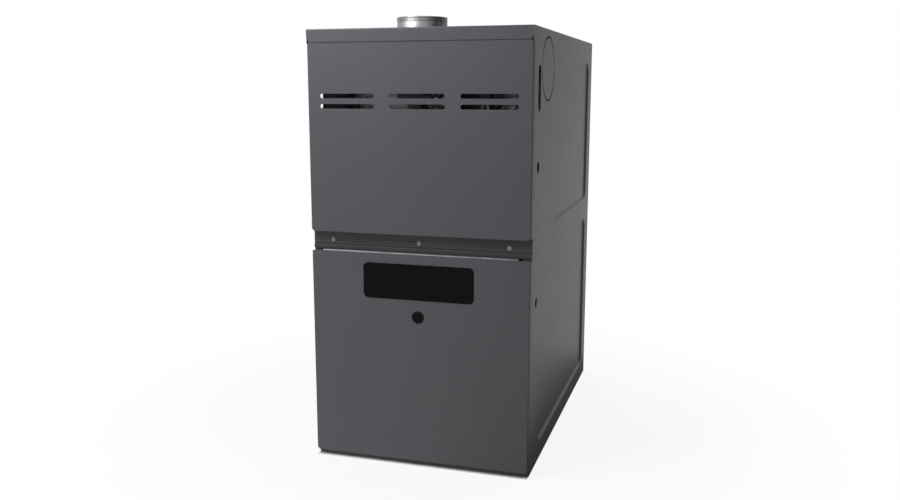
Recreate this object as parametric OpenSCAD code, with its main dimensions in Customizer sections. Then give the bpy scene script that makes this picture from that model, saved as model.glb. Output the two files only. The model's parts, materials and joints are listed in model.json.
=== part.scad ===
// Upflow forced air gas furnace in a sheet metal cabinet.
// Millimetres. X runs to the right, Y to the back and Z up.
// The origin is on the floor, at the middle of the cabinet.

/* [Cabinet] */
// Width of the cabinet across its side panels
cabinet_w = 454; // [448:1:470]
// Depth from the top panel's lip to the back panel
cabinet_d = 733; // [725:1:750]
// Height of the cabinet to the top panel
cabinet_h = 876; // [872:1:890]
// Thickness of the cabinet's sheet metal
sheet = 1; // [0.8:0.1:1.2]
// Outside radius of the folded edges
fold_r = 2.5; // [2:0.5:3]
// Width of the side panels' front flanges
flange_w = 20; // [18:1:22]
// Depth of the panels pressed into the sides
emboss_depth = 5; // [4:0.5:6]
// Width of the sloped wall round a pressed panel
emboss_slope = 5; // [4:0.5:8]

/* [Front] */
// Height of the top panel's front lip
lip_h = 25; // [23:1:28]
// Corner radius of the lip
lip_r = 10; // [8:1:15]
// Depth of the door pans
door_depth = 12.5; // [11:0.5:14]
// Height of the divider rail's lower edge as a share of the cabinet's height
rail_share = 0.504; // [0.5:0.001:0.507]
// Height of the divider rail's face
rail_h = 34.5; // [33:0.5:37]
// Height of the lower door's bottom edge
door_foot = 9; // [7:0.5:12]
// Length of a louvre slot
louvre_len = 113; // [100:1:120]
// Height of a louvre slot
louvre_h = 9.2; // [8:0.1:11]
// Distance between the louvre columns
louvre_step_x = 144; // [140:1:150]
// Distance between the louvre rows
louvre_step_z = 20; // [18:1:24]
// Distance from the lip down to the upper row of louvres
louvre_drop = 103.4; // [98:0.1:110]
// Width of the blank plate
plate_w = 230; // [200:1:250]
// Height of the blank plate
plate_h = 72; // [60:1:80]
// Corner radius of the blank plate
plate_r = 10; // [6:1:14]
// Distance from the rail down to the middle of the blank plate
plate_drop = 58; // [54:1:64]
// Diameter of the sight glass
sight_d = 25; // [22:0.5:27]
// Distance from the rail down to the sight glass
sight_drop = 128.5; // [120:0.5:135]

/* [Openings in the cabinet] */
// Diameter of the vent collar
vent_d = 103; // [100:0.5:104]
// Height of the vent collar above the top panel
vent_h = 27.5; // [24:0.5:32]
// Diameter of the knock-out for a side vent
knockout_d = 125; // [120:1:130]
// Diameter of the gas pipe's entry hole
gas_entry_d = 22.2; // [21.6:0.1:24]
// Diameter of the power cable's entry hole
power_entry_d = 20; // [18:0.5:22]
// Length of the obround slot in each side
side_slot_len = 88; // [80:1:92]
// Width of the obround slot in each side
side_slot_w = 25; // [22:1:28]
// Margin of sheet round the supply air opening
supply_margin = 27; // [22:1:30]
// Margin of sheet round the return air opening
return_margin = 37; // [33:1:42]

/* [Heat exchanger and burners] */
// Outside diameter of a heat exchanger tube
tube_d = 44; // [40:0.5:46]
// Wall of a heat exchanger tube
tube_wall = 1; // [0.8:0.1:1.4]
// Distance from a side panel to the axis of the tube beside it
tube_margin = 106; // [103:1:112]
// Distance from the top panel down to the tubes' outlets
outlet_drop = 135; // [132:1:147]
// Height of the burners above the blower deck
burner_rise = 74; // [72:1:78]
// Outside diameter of the gas manifold
manifold_d = 24; // [21:0.5:26]
// Diameter of the inducer's wheel
inducer_wheel_d = 124; // [110:1:130]
// Diameter of the inducer's housing
inducer_d = 176; // [168:1:180]
// Diameter of the inducer's motor
inducer_motor_d = 84; // [76:1:90]

/* [Blower] */
// Diameter of the blower wheel
wheel_d = 254; // [240:1:260]
// Width of the blower wheel
wheel_w = 202; // [190:1:206]
// Number of blades on the blower wheel
blade_count = 40; // [32:1:44]
// Thickness of a blade
blade_t = 1; // [0.8:0.1:1.4]
// Diameter of the blower motor
motor_d = 136; // [120:1:140]
// Length of the blower motor
motor_len = 115; // [100:1:120]
// Diameter of the blower shaft
shaft_d = 12.7; // [10:0.1:14]

/* [Hidden] */
$fn = 48;
// Overcut that keeps a cut's end clear of the face it opens
over = 1;
// Lap of a folded edge on the flat sheet that it joins
fold_lap = 0.5;
// Gap between pieces that move past each other
gap = 0.3;
// Radial clearance of a shaft or screw in its hole
run = 0.05;

// A length rounded to half a millimetre
function to_half(length) = round(2 * length) / 2;

// Planes of the cabinet
x_out = cabinet_w / 2;
x_in = x_out - sheet;
front = -cabinet_d / 2;
back = cabinet_d / 2;
lip_gap = 0.5;
door_face = front + sheet + lip_gap;
door_in = door_face + sheet;
door_back = door_face + door_depth;
post_y = door_back + gap;
post_in = post_y + sheet;
top_z = cabinet_h - sheet;
lip_z = cabinet_h - lip_h;
rail_z = to_half(cabinet_h * rail_share);
deck_z = rail_z + 13.5;
deck_top = deck_z + sheet;
vestibule_depth = 210.2;
vest_front = post_in + vestibule_depth;
vest_back = vest_front + sheet;
tab = 15;
base_tab = 20;

// Doors
hem_h = 8.5;
hem_y = post_y - 2 * sheet;
tongue_h = 12;
corner_relief = 24;
corner_clip = 4;
upper_door_z = rail_z + rail_h + 1;
shoulder_z = lip_z - 3;
lower_door_top = rail_z - gap;
sight_z = rail_z - sight_drop;
plate_z = rail_z - plate_drop;
plate_t = 0.8;
rail_half = x_out - 0.5;
rail_screw_x = x_out - 44;
rail_screw_z = rail_z + 19;

// Vent, inducer and heat exchanger
vent_x = -35;
vent_y = front + 141.5;
vent_wall = 0.8;
burner_z = deck_top + burner_rise;
passes = 4;
pass_step = to_half((top_z - outlet_drop - burner_z) / (passes - 1));
tube_top_z = burner_z + (passes - 1) * pass_step;
tube_step = (x_in - tube_margin) / 1.5;
tube_rear_y = back - 116.5;
tube_front_y = vest_back + 70;
bend_r = pass_step / 2;
tube_x = [for (i = [0 : 3]) (i - 1.5) * tube_step];
tube_bead = 4;
inducer_x = 30;
collector_depth = 24;
collector_half = 1.5 * tube_step + tube_d / 2 + 6;
collector_h = tube_d + 12;
collector_face = vest_front - collector_depth;
inducer_depth = 60;
inducer_wall = 1.5;
inducer_neck = 30;
inducer_back = collector_face - inducer_neck;
inducer_front = inducer_back - inducer_depth;
inducer_shaft_d = 8;
limit_x = -1.5 * tube_step - 45;
limit_z = burner_z + 110;

// Burners and gas train
burner_box_depth = 60;
burner_box_y = vest_front - burner_box_depth;
burner_box_half = 1.5 * tube_step + 45;
burner_box_h = 60;
burner_head_d = 38;
burner_len = 138;
burner_tip_y = vest_front - 17;
burner_inlet_y = burner_tip_y - burner_len;
manifold_y = burner_inlet_y - 22;
valve_x = x_in - 76;
valve_w = 64;
valve_d = 60;
valve_h = 65;
valve_z = burner_z + 45;
gas_entry_y = manifold_y + 7;
gas_entry_z = valve_z + 38;

// Blower
wheel_y = vest_front + 221;
wheel_z = deck_z / 2 + 7.5;
scroll_half = wheel_w / 2 + 14;
scroll_start_r = wheel_d / 2 + 13;
scroll_end_r = wheel_d / 2 + 78;
cutoff_angle = 75;
scroll_steps = 34;
scroll_t = 1.2;
inlet_r = wheel_d / 2 - 19;
motor_x = 35;
rim_t = 3;

// Controls
panel_half = x_in - 41;
panel_y = post_in + 46;
panel_h = 205;
board_right = 84;
switch_x = panel_half - 15;
switch_z = rail_z - 24;
power_entry_z = rail_z - 95.5;
power_entry_y = post_y + 44;
wire_hole = [-150, vest_front - 110];

// Rounded rectangle about the origin
module rounded_rect(w, h, r) {
    square([w, h - 2 * r], center = true);
    square([w - 2 * r, h], center = true);
    for (sx = [-1, 1], sy = [-1, 1])
        translate([sx * (w / 2 - r), sy * (h / 2 - r)]) circle(r);
}

// Slot with round ends along X
module obround(length, height) {
    square([length - height, height], center = true);
    for (s = [-1, 1]) translate([s * (length - height) / 2, 0]) circle(height / 2);
}

// Box given by its two corners
module span(a, b) {
    translate(a) cube(b - a);
}

// Cylinder along X, Y or Z, from a point on its axis
module rod_x(p, r, length) {
    translate(p) rotate([0, 90, 0]) cylinder(r = r, h = length);
}

module rod_y(p, r, length) {
    translate(p) rotate([-90, 0, 0]) cylinder(r = r, h = length);
}

module rod_z(p, r, length) {
    translate(p) cylinder(r = r, h = length);
}

// Section of a folded edge in the corner of a quadrant that opens towards -x and -y;
// its ends lap the flat sheets that they join
module fold_section() {
    intersection() {
        translate([-fold_r, -fold_r]) difference() {
            circle(fold_r);
            circle(fold_r - sheet);
        }
        translate([-fold_r, -fold_r]) square(fold_r);
    }
    translate([-fold_r - fold_lap, -sheet]) square([fold_lap, sheet]);
    translate([-sheet, -fold_r - fold_lap]) square([sheet, fold_lap]);
}

// Extrude an XZ outline along +Y from the plane y
module front_plate(y, t) {
    translate([0, y + t, 0]) rotate([90, 0, 0]) linear_extrude(t) children();
}

// Extrude a YZ outline along +X from the plane x
module side_plate(x, t) {
    translate([x, 0, 0]) rotate([90, 0, 90]) linear_extrude(t) children();
}

// Points on a smooth curve through the hand-placed points of a route
function spline(p, i, t) =
    let (a = p[max(i - 1, 0)], b = p[i], c = p[i + 1], d = p[min(i + 2, len(p) - 1)])
    0.5 * (2 * b + (c - a) * t + (2 * a - 5 * b + 4 * c - d) * t * t
           + (3 * b - a - 3 * c + d) * t * t * t);

function smooth(p, n) =
    concat([for (i = [0 : len(p) - 2], k = [0 : n - 1]) spline(p, i, k / n)], [p[len(p) - 1]]);

function unit(v) = v / norm(v);

function heading(p, i) = unit(p[min(i + 1, len(p) - 1)] - p[max(i - 1, 0)]);

// One ring of a swept tube, square to the route
function ring(centre, along, r, sides) =
    let (side = unit(cross(along, [0.31, 0.52, 0.79])), up = cross(side, along))
    [for (k = [0 : sides - 1])
        centre + r * (cos(360 * k / sides) * side + sin(360 * k / sides) * up)];

// Tube swept along a route, closed by a flat cap at each end
module swept(route, r, sides) {
    last = len(route) - 1;
    points = [for (i = [0 : last]) each ring(route[i], heading(route, i), r, sides)];
    walls = [for (i = [0 : last - 1], k = [0 : sides - 1])
        let (n = (k + 1) % sides, a = i * sides, b = a + sides)
        each [[a + k, b + n, b + k], [a + k, a + n, b + n]]];
    caps = [[for (k = [0 : sides - 1]) sides - 1 - k],
            [for (k = [0 : sides - 1]) last * sides + k]];
    polyhedron(points, concat(walls, caps));
}

// Pressed panel: a frustum whose wide face lies at x = 0 and narrow face at x = -depth
module pressing(w, h, r, depth, slope) {
    hull() {
        rotate([90, 0, 90]) linear_extrude(0.02) rounded_rect(w, h, r, $fn = 32);
        translate([-depth, 0, 0]) rotate([90, 0, 90]) linear_extrude(0.02)
            rounded_rect(w - 2 * slope, h - 2 * slope, r - slope / 2, $fn = 32);
    }
}

// Sheet of the right side, with its two pressed panels, slot, knock-out and entry holes
module side_sheet() {
    upper = [post_y + 222, back - 50, deck_z + 27, cabinet_h - 50];
    lower = [post_y + 87, back - 49, 37, rail_z - 11.5];
    slot_y = post_y + 43.5;
    knock_y = vent_y;
    knock_z = cabinet_h - 76;
    groove = 0.6;
    groove_w = 2.2;
    tabs = 6;
    tab_angle = 8;
    difference() {
        union() {
            span([x_in, post_y + fold_r, 0], [x_out, back, top_z]);
            translate([x_out, post_y, 0]) linear_extrude(top_z) mirror([0, 1]) fold_section();
            span([x_out - flange_w, post_y, 0], [x_out - fold_r, post_in, top_z]);
            span([x_out - 16, post_in, top_z - sheet], [x_in + 0.1, back - sheet, top_z]);
            for (e = [upper, lower])
                translate([x_in + 0.1, (e[0] + e[1]) / 2, (e[2] + e[3]) / 2])
                    pressing(e[1] - e[0] + 2 * sheet, e[3] - e[2] + 2 * sheet, 26,
                             emboss_depth + 0.1, emboss_slope);
        }
        for (e = [upper, lower])
            translate([x_out + 0.01, (e[0] + e[1]) / 2, (e[2] + e[3]) / 2])
                pressing(e[1] - e[0], e[3] - e[2], 25, emboss_depth + 0.01, emboss_slope);
        translate([0, slot_y, cabinet_h - 113.5]) side_plate(x_in - over, sheet + 2 * over)
            rotate(90) obround(side_slot_len, side_slot_w);
        rod_x([x_in - over, gas_entry_y, gas_entry_z], gas_entry_d / 2, sheet + 2 * over);
        rod_x([x_in - over, power_entry_y, power_entry_z], power_entry_d / 2, sheet + 2 * over);
        for (p = [[gas_entry_y + 11, gas_entry_z + 34], [gas_entry_y - 15, gas_entry_z - 32],
                  [power_entry_y + 36, power_entry_z - 7]])
            rod_x([x_in - over, p[0], p[1]], 2, sheet + 2 * over);
        for (i = [0 : tabs - 1])
            translate([x_out - groove, knock_y, knock_z])
                rotate([360 * (i + 0.55) / tabs, 0, 0]) rotate([90, 0, 90])
                    rotate_extrude(angle = 360 / tabs - tab_angle)
                        translate([knockout_d / 2 - groove_w, 0]) square([groove_w, groove + over]);
    }
}

module right_side_panel() {
    color("dimgray") side_sheet();
}

module left_side_panel() {
    color("dimgray") mirror([1, 0, 0]) side_sheet();
}

module back_panel() {
    color("dimgray") {
        span([-x_in, back - sheet, 0], [x_in, back, top_z]);
        for (s = [0, 1]) mirror([s, 0, 0])
            span([x_in - sheet, back - tab, base_tab + gap], [x_in, back - sheet, top_z - sheet]);
    }
}

// Notches that clear the inside of the side panels' folded front edges
module front_notches(top) {
    for (s = [0, 1]) mirror([s, 0, 0])
        span([x_out - fold_r, post_y, -over], [x_out + over, post_y + fold_r, top + over]);
}

// Ring of sheet on the floor, turned up outside and round the return air opening
module base_frame() {
    ox = x_in - return_margin;
    y0 = post_in + return_margin + 14;
    y1 = back - sheet - return_margin;
    rim = 12;
    color("silver") difference() {
        union() {
            span([-x_in, post_in, 0], [x_in, back - sheet, sheet]);
            difference() {
                span([-x_in, post_in, 0], [x_in, back - sheet, base_tab]);
                span([-x_in + sheet, post_in + sheet, -over],
                     [x_in - sheet, back - 2 * sheet, base_tab + over]);
            }
            span([-ox - sheet, y0 - sheet, 0], [ox + sheet, y1 + sheet, rim]);
        }
        span([-ox, y0, -over], [ox, y1, rim + over]);
        front_notches(base_tab);
    }
}

// Top panel with the front lip, the vent hole and the supply air opening, its edge hemmed
module top_panel() {
    ox = x_out - supply_margin;
    y0 = vest_back + 10;
    y1 = back - 21.5;
    hem = 9;
    color("dimgray") {
        difference() {
            union() {
                span([-x_out, front + fold_r, top_z], [x_out, back, cabinet_h]);
                span([-ox - hem, y0 - hem, top_z], [ox + hem, y1 + hem, cabinet_h + sheet]);
            }
            span([-ox, y0, top_z - over], [ox, y1, cabinet_h + sheet + over]);
            rod_z([vent_x, vent_y, top_z - over], vent_d / 2 + 0.8, sheet + 2 * over);
        }
        side_plate(-x_out, cabinet_w) translate([front, cabinet_h]) mirror([1, 0])
            fold_section();
        front_plate(front, sheet) {
            translate([-x_out, lip_z + lip_r]) square([cabinet_w, lip_h - lip_r - fold_r]);
            translate([-x_out + lip_r, lip_z]) square([cabinet_w - 2 * lip_r, lip_h - fold_r]);
            for (s = [-1, 1]) translate([s * (x_out - lip_r), lip_z + lip_r]) circle(lip_r);
        }
        for (s = [0, 1]) mirror([s, 0, 0])
            span([x_in, front + sheet, shoulder_z + gap], [x_out, post_y, top_z]);
    }
}

// Round collar with three fine grooves under its top edge, flanged onto the top panel
module vent_collar() {
    r = vent_d / 2;
    inner = r - vent_wall;
    foot = top_z - 10;
    top = cabinet_h + vent_h;
    groove = 0.35;
    color("lightgray") translate([vent_x, vent_y, 0]) rotate_extrude()
        polygon(concat([[inner, foot], [r, foot], [r, cabinet_h], [r + 11, cabinet_h],
                        [r + 11, cabinet_h + 1.2], [r, cabinet_h + 1.2]],
                       [for (d = [9.5, 6.5, 3.5])
                           each [[r, top - d - 0.7], [r - groove, top - d], [r, top - d + 0.7]]],
                       [[r, top - 0.5], [r - 0.3, top], [inner, top]]));
}

// Rail between the doors, hemmed along its lower edge
module divider_rail() {
    inner = x_out - flange_w - 1;
    color([0.25, 0.25, 0.24]) difference() {
        union() {
            span([-rail_half, post_y - sheet, rail_z], [rail_half, post_y, rail_z + rail_h]);
            span([-rail_half, hem_y, rail_z], [rail_half, post_y - sheet, rail_z + hem_h]);
            span([-inner, post_y, rail_z + rail_h - sheet],
                 [inner, post_in + 12, rail_z + rail_h]);
        }
        for (i = [-1 : 1]) rod_y([i * rail_screw_x, hem_y - over, rail_screw_z], 2 + run, 4);
    }
}

// Hexagon washer-head screws through the rail into the blower deck
module rail_screws() {
    color("gainsboro") for (i = [-1 : 1])
        translate([i * rail_screw_x, post_y - sheet, rail_screw_z]) rotate([90, 0, 0]) {
            translate([0, 0, -12]) cylinder(r = 2, h = 12.5);
            cylinder(r = 4.8, h = 0.8);
            cylinder(r = 3.9, h = 3.2, $fn = 6);
        }
}

// Shelf that carries the blower, with the opening for its outlet
module blower_deck() {
    hole = scroll_half - scroll_t;
    y0 = wheel_y - scroll_end_r + scroll_t;
    y1 = wheel_y + scroll_start_r * cos(cutoff_angle) - scroll_t;
    color("silver") difference() {
        union() {
            span([-x_in, post_in, deck_z], [x_in, back - tab - gap, deck_top]);
            span([-x_in + sheet + gap, back - tab - over, deck_z],
                 [x_in - sheet - gap, back - sheet, deck_top]);
            span([-x_out + flange_w + 1, post_y, deck_z],
                 [x_out - flange_w - 1, post_in, deck_top + tab - 2]);
            for (s = [0, 1]) mirror([s, 0, 0])
                span([x_in - sheet, post_in, deck_z],
                     [x_in, back - tab - gap, deck_top + tab]);
        }
        span([-hole, y0, deck_z - over], [hole, y1, deck_top + over]);
        for (i = [-1 : 1]) rod_y([i * rail_screw_x, post_y - over, rail_screw_z], 2 + run, 4);
        rod_z([wire_hole[0], wire_hole[1], deck_z - over], 13, sheet + 2 * over);
        front_notches(deck_top + tab);
    }
}

// Wall between the burners and the heat exchanger
module vestibule_panel() {
    z1 = top_z - sheet;
    color("silver") difference() {
        union() {
            span([-x_in, vest_front, deck_top], [x_in, vest_back, z1]);
            span([-x_in, vest_front - tab, deck_top], [x_in - 2, vest_back, deck_top + sheet]);
            for (s = [0, 1]) mirror([s, 0, 0])
                span([x_in - sheet, vest_front - tab, deck_top + tab + 1], [x_in, vest_back, z1]);
        }
        for (s = [0, 1]) mirror([s, 0, 0])
            span([x_in - sheet, vest_front - tab - over, deck_top - over],
                 [x_in + over, vest_back + over, deck_top + tab]);
        for (x = tube_x, z = [burner_z, tube_top_z])
            rod_y([x, vest_front - over, z], tube_d / 2 + run, sheet + 2 * over);
        rod_y([limit_x, vest_front - over, limit_z], 5, sheet + 2 * over);
    }
}

// Foil-faced insulation along the side of the heat exchanger
module side_liner() {
    x1 = x_out - emboss_depth - sheet;
    span([x1 - 12, vest_back + 5, deck_top], [x1, back - sheet - 12, top_z - 3]);
}

module left_liner() {
    color("whitesmoke") mirror([1, 0, 0]) side_liner();
}

module right_liner() {
    color("whitesmoke") side_liner();
}

module back_liner() {
    x1 = x_out - emboss_depth - sheet - 12 - gap;
    color("whitesmoke")
        span([-x1, back - sheet - 12, deck_top], [x1, back - sheet, top_z - 3]);
}

// Serpentine run of a heat exchanger tube, grown outwards by a wall for the cut inside it
module serpentine(r, extra) {
    y0 = vest_front - extra;
    rod_y([0, y0, burner_z], r, tube_rear_y - y0);
    for (i = [1 : passes - 2])
        rod_y([0, tube_front_y, burner_z + i * pass_step], r, tube_rear_y - tube_front_y);
    rod_y([0, y0, tube_top_z], r, tube_rear_y - y0);
    for (i = [0 : passes - 2]) {
        rear = i % 2 == 0;
        translate([0, rear ? tube_rear_y : tube_front_y, burner_z + (i + 0.5) * pass_step])
            rotate([rear ? 90 : -90, 0, 90]) rotate([0, 0, rear ? -90 : 90])
                rotate_extrude(angle = 180) translate([bend_r, 0]) circle(r);
    }
}

module heat_tube(i) {
    color([0.55, 0.55, 0.53]) translate([tube_x[i], 0, 0]) difference() {
        union() {
            serpentine(tube_d / 2, 0);
            for (z = [burner_z, tube_top_z])
                rod_y([0, vest_back, z], tube_d / 2 + tube_bead, 2);
        }
        serpentine(tube_d / 2 - tube_wall, over);
    }
}

// Plate that carries the tubes ahead of their rear bends, with a foot on the deck
module tube_baffle() {
    y0 = tube_rear_y - 12;
    half = collector_half + 6;
    color([0.62, 0.62, 0.6]) difference() {
        union() {
            span([-half, y0, deck_top], [half, y0 + sheet, tube_top_z + tube_d / 2 + 14]);
            span([-half, y0, deck_top], [half, y0 + 20, deck_top + sheet]);
        }
        for (x = tube_x, i = [0 : passes - 1])
            rod_y([x, y0 - over, burner_z + i * pass_step], tube_d / 2 + 2 * run,
                  sheet + 2 * over);
    }
}

// Box that gathers the tubes' outlets for the inducer, flanged onto the vestibule panel
module collector_box() {
    h = collector_h / 2;
    color("lightgray") difference() {
        union() {
            span([-collector_half, collector_face, tube_top_z - h],
                 [collector_half, vest_front, tube_top_z + h]);
            span([-collector_half - 5, vest_front - sheet, tube_top_z - h - 6],
                 [collector_half + 5, vest_front, tube_top_z + h + 6]);
        }
        span([-collector_half + sheet, collector_face + sheet, tube_top_z - h + sheet],
             [collector_half - sheet, vest_front + over, tube_top_z + h - sheet]);
        rod_y([inducer_x, collector_face - over, tube_top_z], 30, sheet + 2 * over);
    }
}

// Box round the burner outlets, with the arms that carry the gas manifold
module burner_box() {
    h = burner_box_h / 2;
    arm_x = tube_step;
    color("silver") difference() {
        union() {
            span([-burner_box_half, burner_box_y - sheet, burner_z - h],
                 [burner_box_half, vest_front, burner_z + h]);
            for (s = [-1, 1]) {
                span([s * arm_x - 1, manifold_y + manifold_d / 2 + 3, burner_z - 12],
                     [s * arm_x + 1, burner_box_y, burner_z + 12]);
                span([s * arm_x - 8, manifold_y + manifold_d / 2 + 3, burner_z - 12],
                     [s * arm_x + 8, manifold_y + manifold_d / 2 + 5, burner_z + 12]);
            }
        }
        span([-burner_box_half + sheet, burner_box_y, burner_z - h + sheet],
             [burner_box_half - sheet, vest_front + over, burner_z + h - sheet]);
        for (x = tube_x)
            rod_y([x, burner_box_y - 2 * sheet, burner_z], burner_head_d / 2 + 1, 4 * sheet);
        for (s = [-1, 1])
            rod_x([s * (burner_box_half - sheet / 2) - 2, burner_tip_y + 4, burner_z], 4, 4);
    }
}

// In-shot burner: bell inlet, throat and flame head, with its seat collar
module burner(i) {
    r = burner_head_d / 2;
    wall = 1.2;
    seat = burner_box_y - sheet - burner_inlet_y;
    profile = [[15, 0], [16.2, 2], [13.5, 8], [10.2, 20], [10, 42], [r - 3, 74], [r, 84],
               [r, burner_len]];
    color([0.5, 0.48, 0.45]) translate([tube_x[i], burner_inlet_y, burner_z])
        rotate([-90, 0, 0]) {
            rotate_extrude() {
                polygon(concat(profile, [for (k = [len(profile) - 1 : -1 : 0])
                    profile[k] - [wall, 0]]));
                translate([r - wall / 2, seat - 2]) square([8, 2]);
            }
            for (k = [0 : 5]) rotate(60 * k)
                translate([3.5, -0.6, burner_len - 10]) cube([r - 4, 1.2, 8]);
        }
}

// Pipe across the burners, with a boss for each orifice and an elbow up to the valve
module manifold_body(r, grow) {
    bend = 22;
    reach = valve_x - bend;
    left = 1.5 * tube_step + 20;
    rod_x([-left + grow, manifold_y, burner_z], r, left + reach - grow);
    translate([reach, manifold_y, burner_z + bend]) rotate([90, 0, 0]) rotate([0, 0, -90])
        rotate_extrude(angle = 90) translate([bend, 0]) circle(r);
    rod_z([valve_x, manifold_y, burner_z + bend], r,
          valve_z - burner_z - bend + min(grow, over));
}

module gas_manifold() {
    r = manifold_d / 2;
    color([0.3, 0.3, 0.3]) difference() {
        union() {
            manifold_body(r, 0);
            for (x = tube_x) rod_y([x, manifold_y, burner_z], 9, r + 3);
            for (s = [-1, 1])
                span([s * tube_step - 7, manifold_y, burner_z - 9],
                     [s * tube_step + 7, manifold_y + r + 3, burner_z + 9]);
        }
        manifold_body(r - 3, 3);
        for (x = tube_x) rod_y([x, manifold_y, burner_z], 4 + run, r + 3 + over);
    }
}

// Brass orifices, one facing each burner
module gas_orifices() {
    y0 = manifold_y + manifold_d / 2 + 3;
    color("goldenrod") for (x = tube_x) translate([x, y0, burner_z]) rotate([-90, 0, 0])
        difference() {
            union() {
                translate([0, 0, -7]) cylinder(r = 4, h = 7.5);
                cylinder(r = 6.4, h = 4, $fn = 6);
                cylinder(r = 3.6, h = 6);
            }
            translate([0, 0, -8]) cylinder(r = 1.4, h = 16);
        }
}

// Gas valve with its inlet boss, solenoid caps and the housing of its switch
module gas_valve() {
    x0 = valve_x - valve_w / 2;
    x1 = valve_x + valve_w / 2;
    y0 = manifold_y - valve_d / 2 + 6;
    y1 = y0 + valve_d;
    top = valve_z + valve_h;
    color([0.6, 0.6, 0.62]) difference() {
        union() {
            translate([valve_x, (y0 + y1) / 2, valve_z + 8]) linear_extrude(valve_h - 18)
                rounded_rect(valve_w, valve_d, 6);
            translate([valve_x, (y0 + y1) / 2, valve_z + 10]) linear_extrude(valve_h - 10)
                rounded_rect(valve_w - 8, valve_d - 8, 5);
            rod_z([valve_x, manifold_y, valve_z], manifold_d / 2 + 5, 12);
            rod_x([x1 - 2, gas_entry_y, gas_entry_z], 17, 30);
            rod_z([x0 + 16, y1 - 16, top], 10, 16);
            rod_z([x1 - 16, y1 - 16, top], 10, 16);
            rod_y([valve_x - 8, y0 - 4, valve_z + 34], 9, 5);
            span([valve_x - 12, y0 + 6, top - 1], [valve_x + 12, y0 + 24, top + 9]);
        }
        rod_x([x1 - 2, gas_entry_y, gas_entry_z], 10.2, 31);
        rod_z([valve_x, manifold_y, valve_z - over], manifold_d / 2 - 3, 10);
        span([valve_x - 9, y0 + 12.4, top - 2], [valve_x + 9, y0 + 17.6, top + 10]);
        rod_y([valve_x, y0 + 8, top + 4], 1.5 + run, 14);
    }
}

// Switch lever of the gas valve, with its pivot pin
module gas_switch_lever() {
    y0 = manifold_y - valve_d / 2 + 6;
    z = valve_z + valve_h + 4;
    lean = 18;
    color("firebrick") translate([valve_x, y0, z]) rotate([0, -lean, 0]) {
        rod_y([0, 13, 0], 3.6, 4);
        span([-2, 13, 0], [2, 17, 15]);
        rod_y([0, 13, 15], 2, 4);
        rod_y([0, 8.5, 0], 1.5, 13);
    }
}

// Ceramic block on the burner box, with the element in front of the first burner
module hot_surface_igniter() {
    x0 = -burner_box_half;
    y = burner_tip_y + 4;
    color("whitesmoke") {
        span([x0 - 30, y - 7, burner_z - 8], [x0, y + 7, burner_z + 8]);
        rod_x([x0 - 0.5, y, burner_z], 3.6, 8);
        span([x0 + 7, y - 1.5, burner_z - 3.4], [x0 + 26, y + 1.5, burner_z + 3.4]);
    }
}

// Flame sensor: ceramic body on the burner box and a rod past the last burner
module flame_sensor() {
    x1 = burner_box_half;
    y = burner_tip_y + 4;
    color("white") {
        span([x1, y - 16, burner_z - 7], [x1 + 1.2, y + 10, burner_z + 7]);
        rod_x([x1 + 1, y, burner_z], 5.5, 18);
        rod_x([x1 - 8, y, burner_z], 3.6, 9);
        rod_x([x1 - 24, y, burner_z], 1.4, 44);
    }
}

// Rollout switch on the burner box, bored for its reset button
module rollout_switch() {
    z0 = burner_z + burner_box_h / 2;
    p = [tube_step, burner_box_y + 30, z0];
    color([0.15, 0.15, 0.15]) difference() {
        union() {
            translate([p[0] - 14, p[1] - 7, z0]) cube([28, 14, 1.2]);
            rod_z(p, 8, 11);
            for (s = [-1, 1]) translate([p[0] + s * 5 - 0.4, p[1] - 9.5, z0 + 5])
                cube([0.8, 19, 4]);
        }
        rod_z(p + [0, 0, 4], 2.5 + 2 * run, 8);
    }
}

module rollout_reset_button() {
    color("firebrick") rod_z([tube_step, burner_box_y + 30, burner_z + burner_box_h / 2 + 6.4],
                             2.5, 8);
}

// Limit switch on the vestibule panel, with its probe beside the tubes
module limit_switch() {
    p = [limit_x, vest_front, limit_z];
    color([0.2, 0.2, 0.22]) {
        translate([p[0] - 18, p[1] - 1.2, p[2] - 11]) cube([36, 1.2, 22]);
        rod_y([p[0], p[1] - 12, p[2]], 9.5, 11);
        rod_y([p[0], p[1] - 1, p[2]], 4, 62);
    }
}

// Outline of the inducer's scroll body and vertical outlet duct, in XZ
module inducer_outline(shrink) {
    duct = 45 - shrink;
    translate([inducer_x, tube_top_z]) circle(inducer_d / 2 - shrink);
    translate([vent_x - duct, tube_top_z]) square([2 * duct, inducer_d / 2 - 2 - shrink]);
}

// Inducer housing: scroll, neck on the collector box and spigot into the vent collar
module inducer_housing() {
    spigot = vent_d / 2 - 3.5;
    duct_top = tube_top_z + inducer_d / 2 - 2;
    neck = 34;
    color("silver") difference() {
        union() {
            front_plate(inducer_front, inducer_depth) inducer_outline(0);
            front_plate(inducer_front + inducer_depth / 2 - 1, 2) {
                translate([inducer_x, tube_top_z]) circle(inducer_d / 2 + 6);
            }
            rod_y([inducer_x, inducer_back - over, tube_top_z], neck, inducer_neck + over);
            rod_y([inducer_x, collector_face - 2, tube_top_z], neck + 9, 2);
            rod_z([vent_x, vent_y, duct_top - over], spigot, cabinet_h + 4 - duct_top);
            rod_z([vent_x, vent_y, duct_top - over], spigot + 1.5, 3);
        }
        front_plate(inducer_front + inducer_wall, inducer_depth - 2 * inducer_wall)
            inducer_outline(inducer_wall);
        rod_y([inducer_x, inducer_back - 4, tube_top_z], neck - inducer_wall, inducer_neck + 5);
        intersection() {
            rod_z([vent_x, vent_y, duct_top - 6], spigot - inducer_wall, cabinet_h + 30 - duct_top);
            span([-x_out, inducer_front + inducer_wall, 0],
                 [x_out, inducer_back - inducer_wall, cabinet_h + 30]);
        }
        rod_y([inducer_x, inducer_front - over, tube_top_z], inducer_shaft_d / 2 + 4, 4);
    }
}

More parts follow.
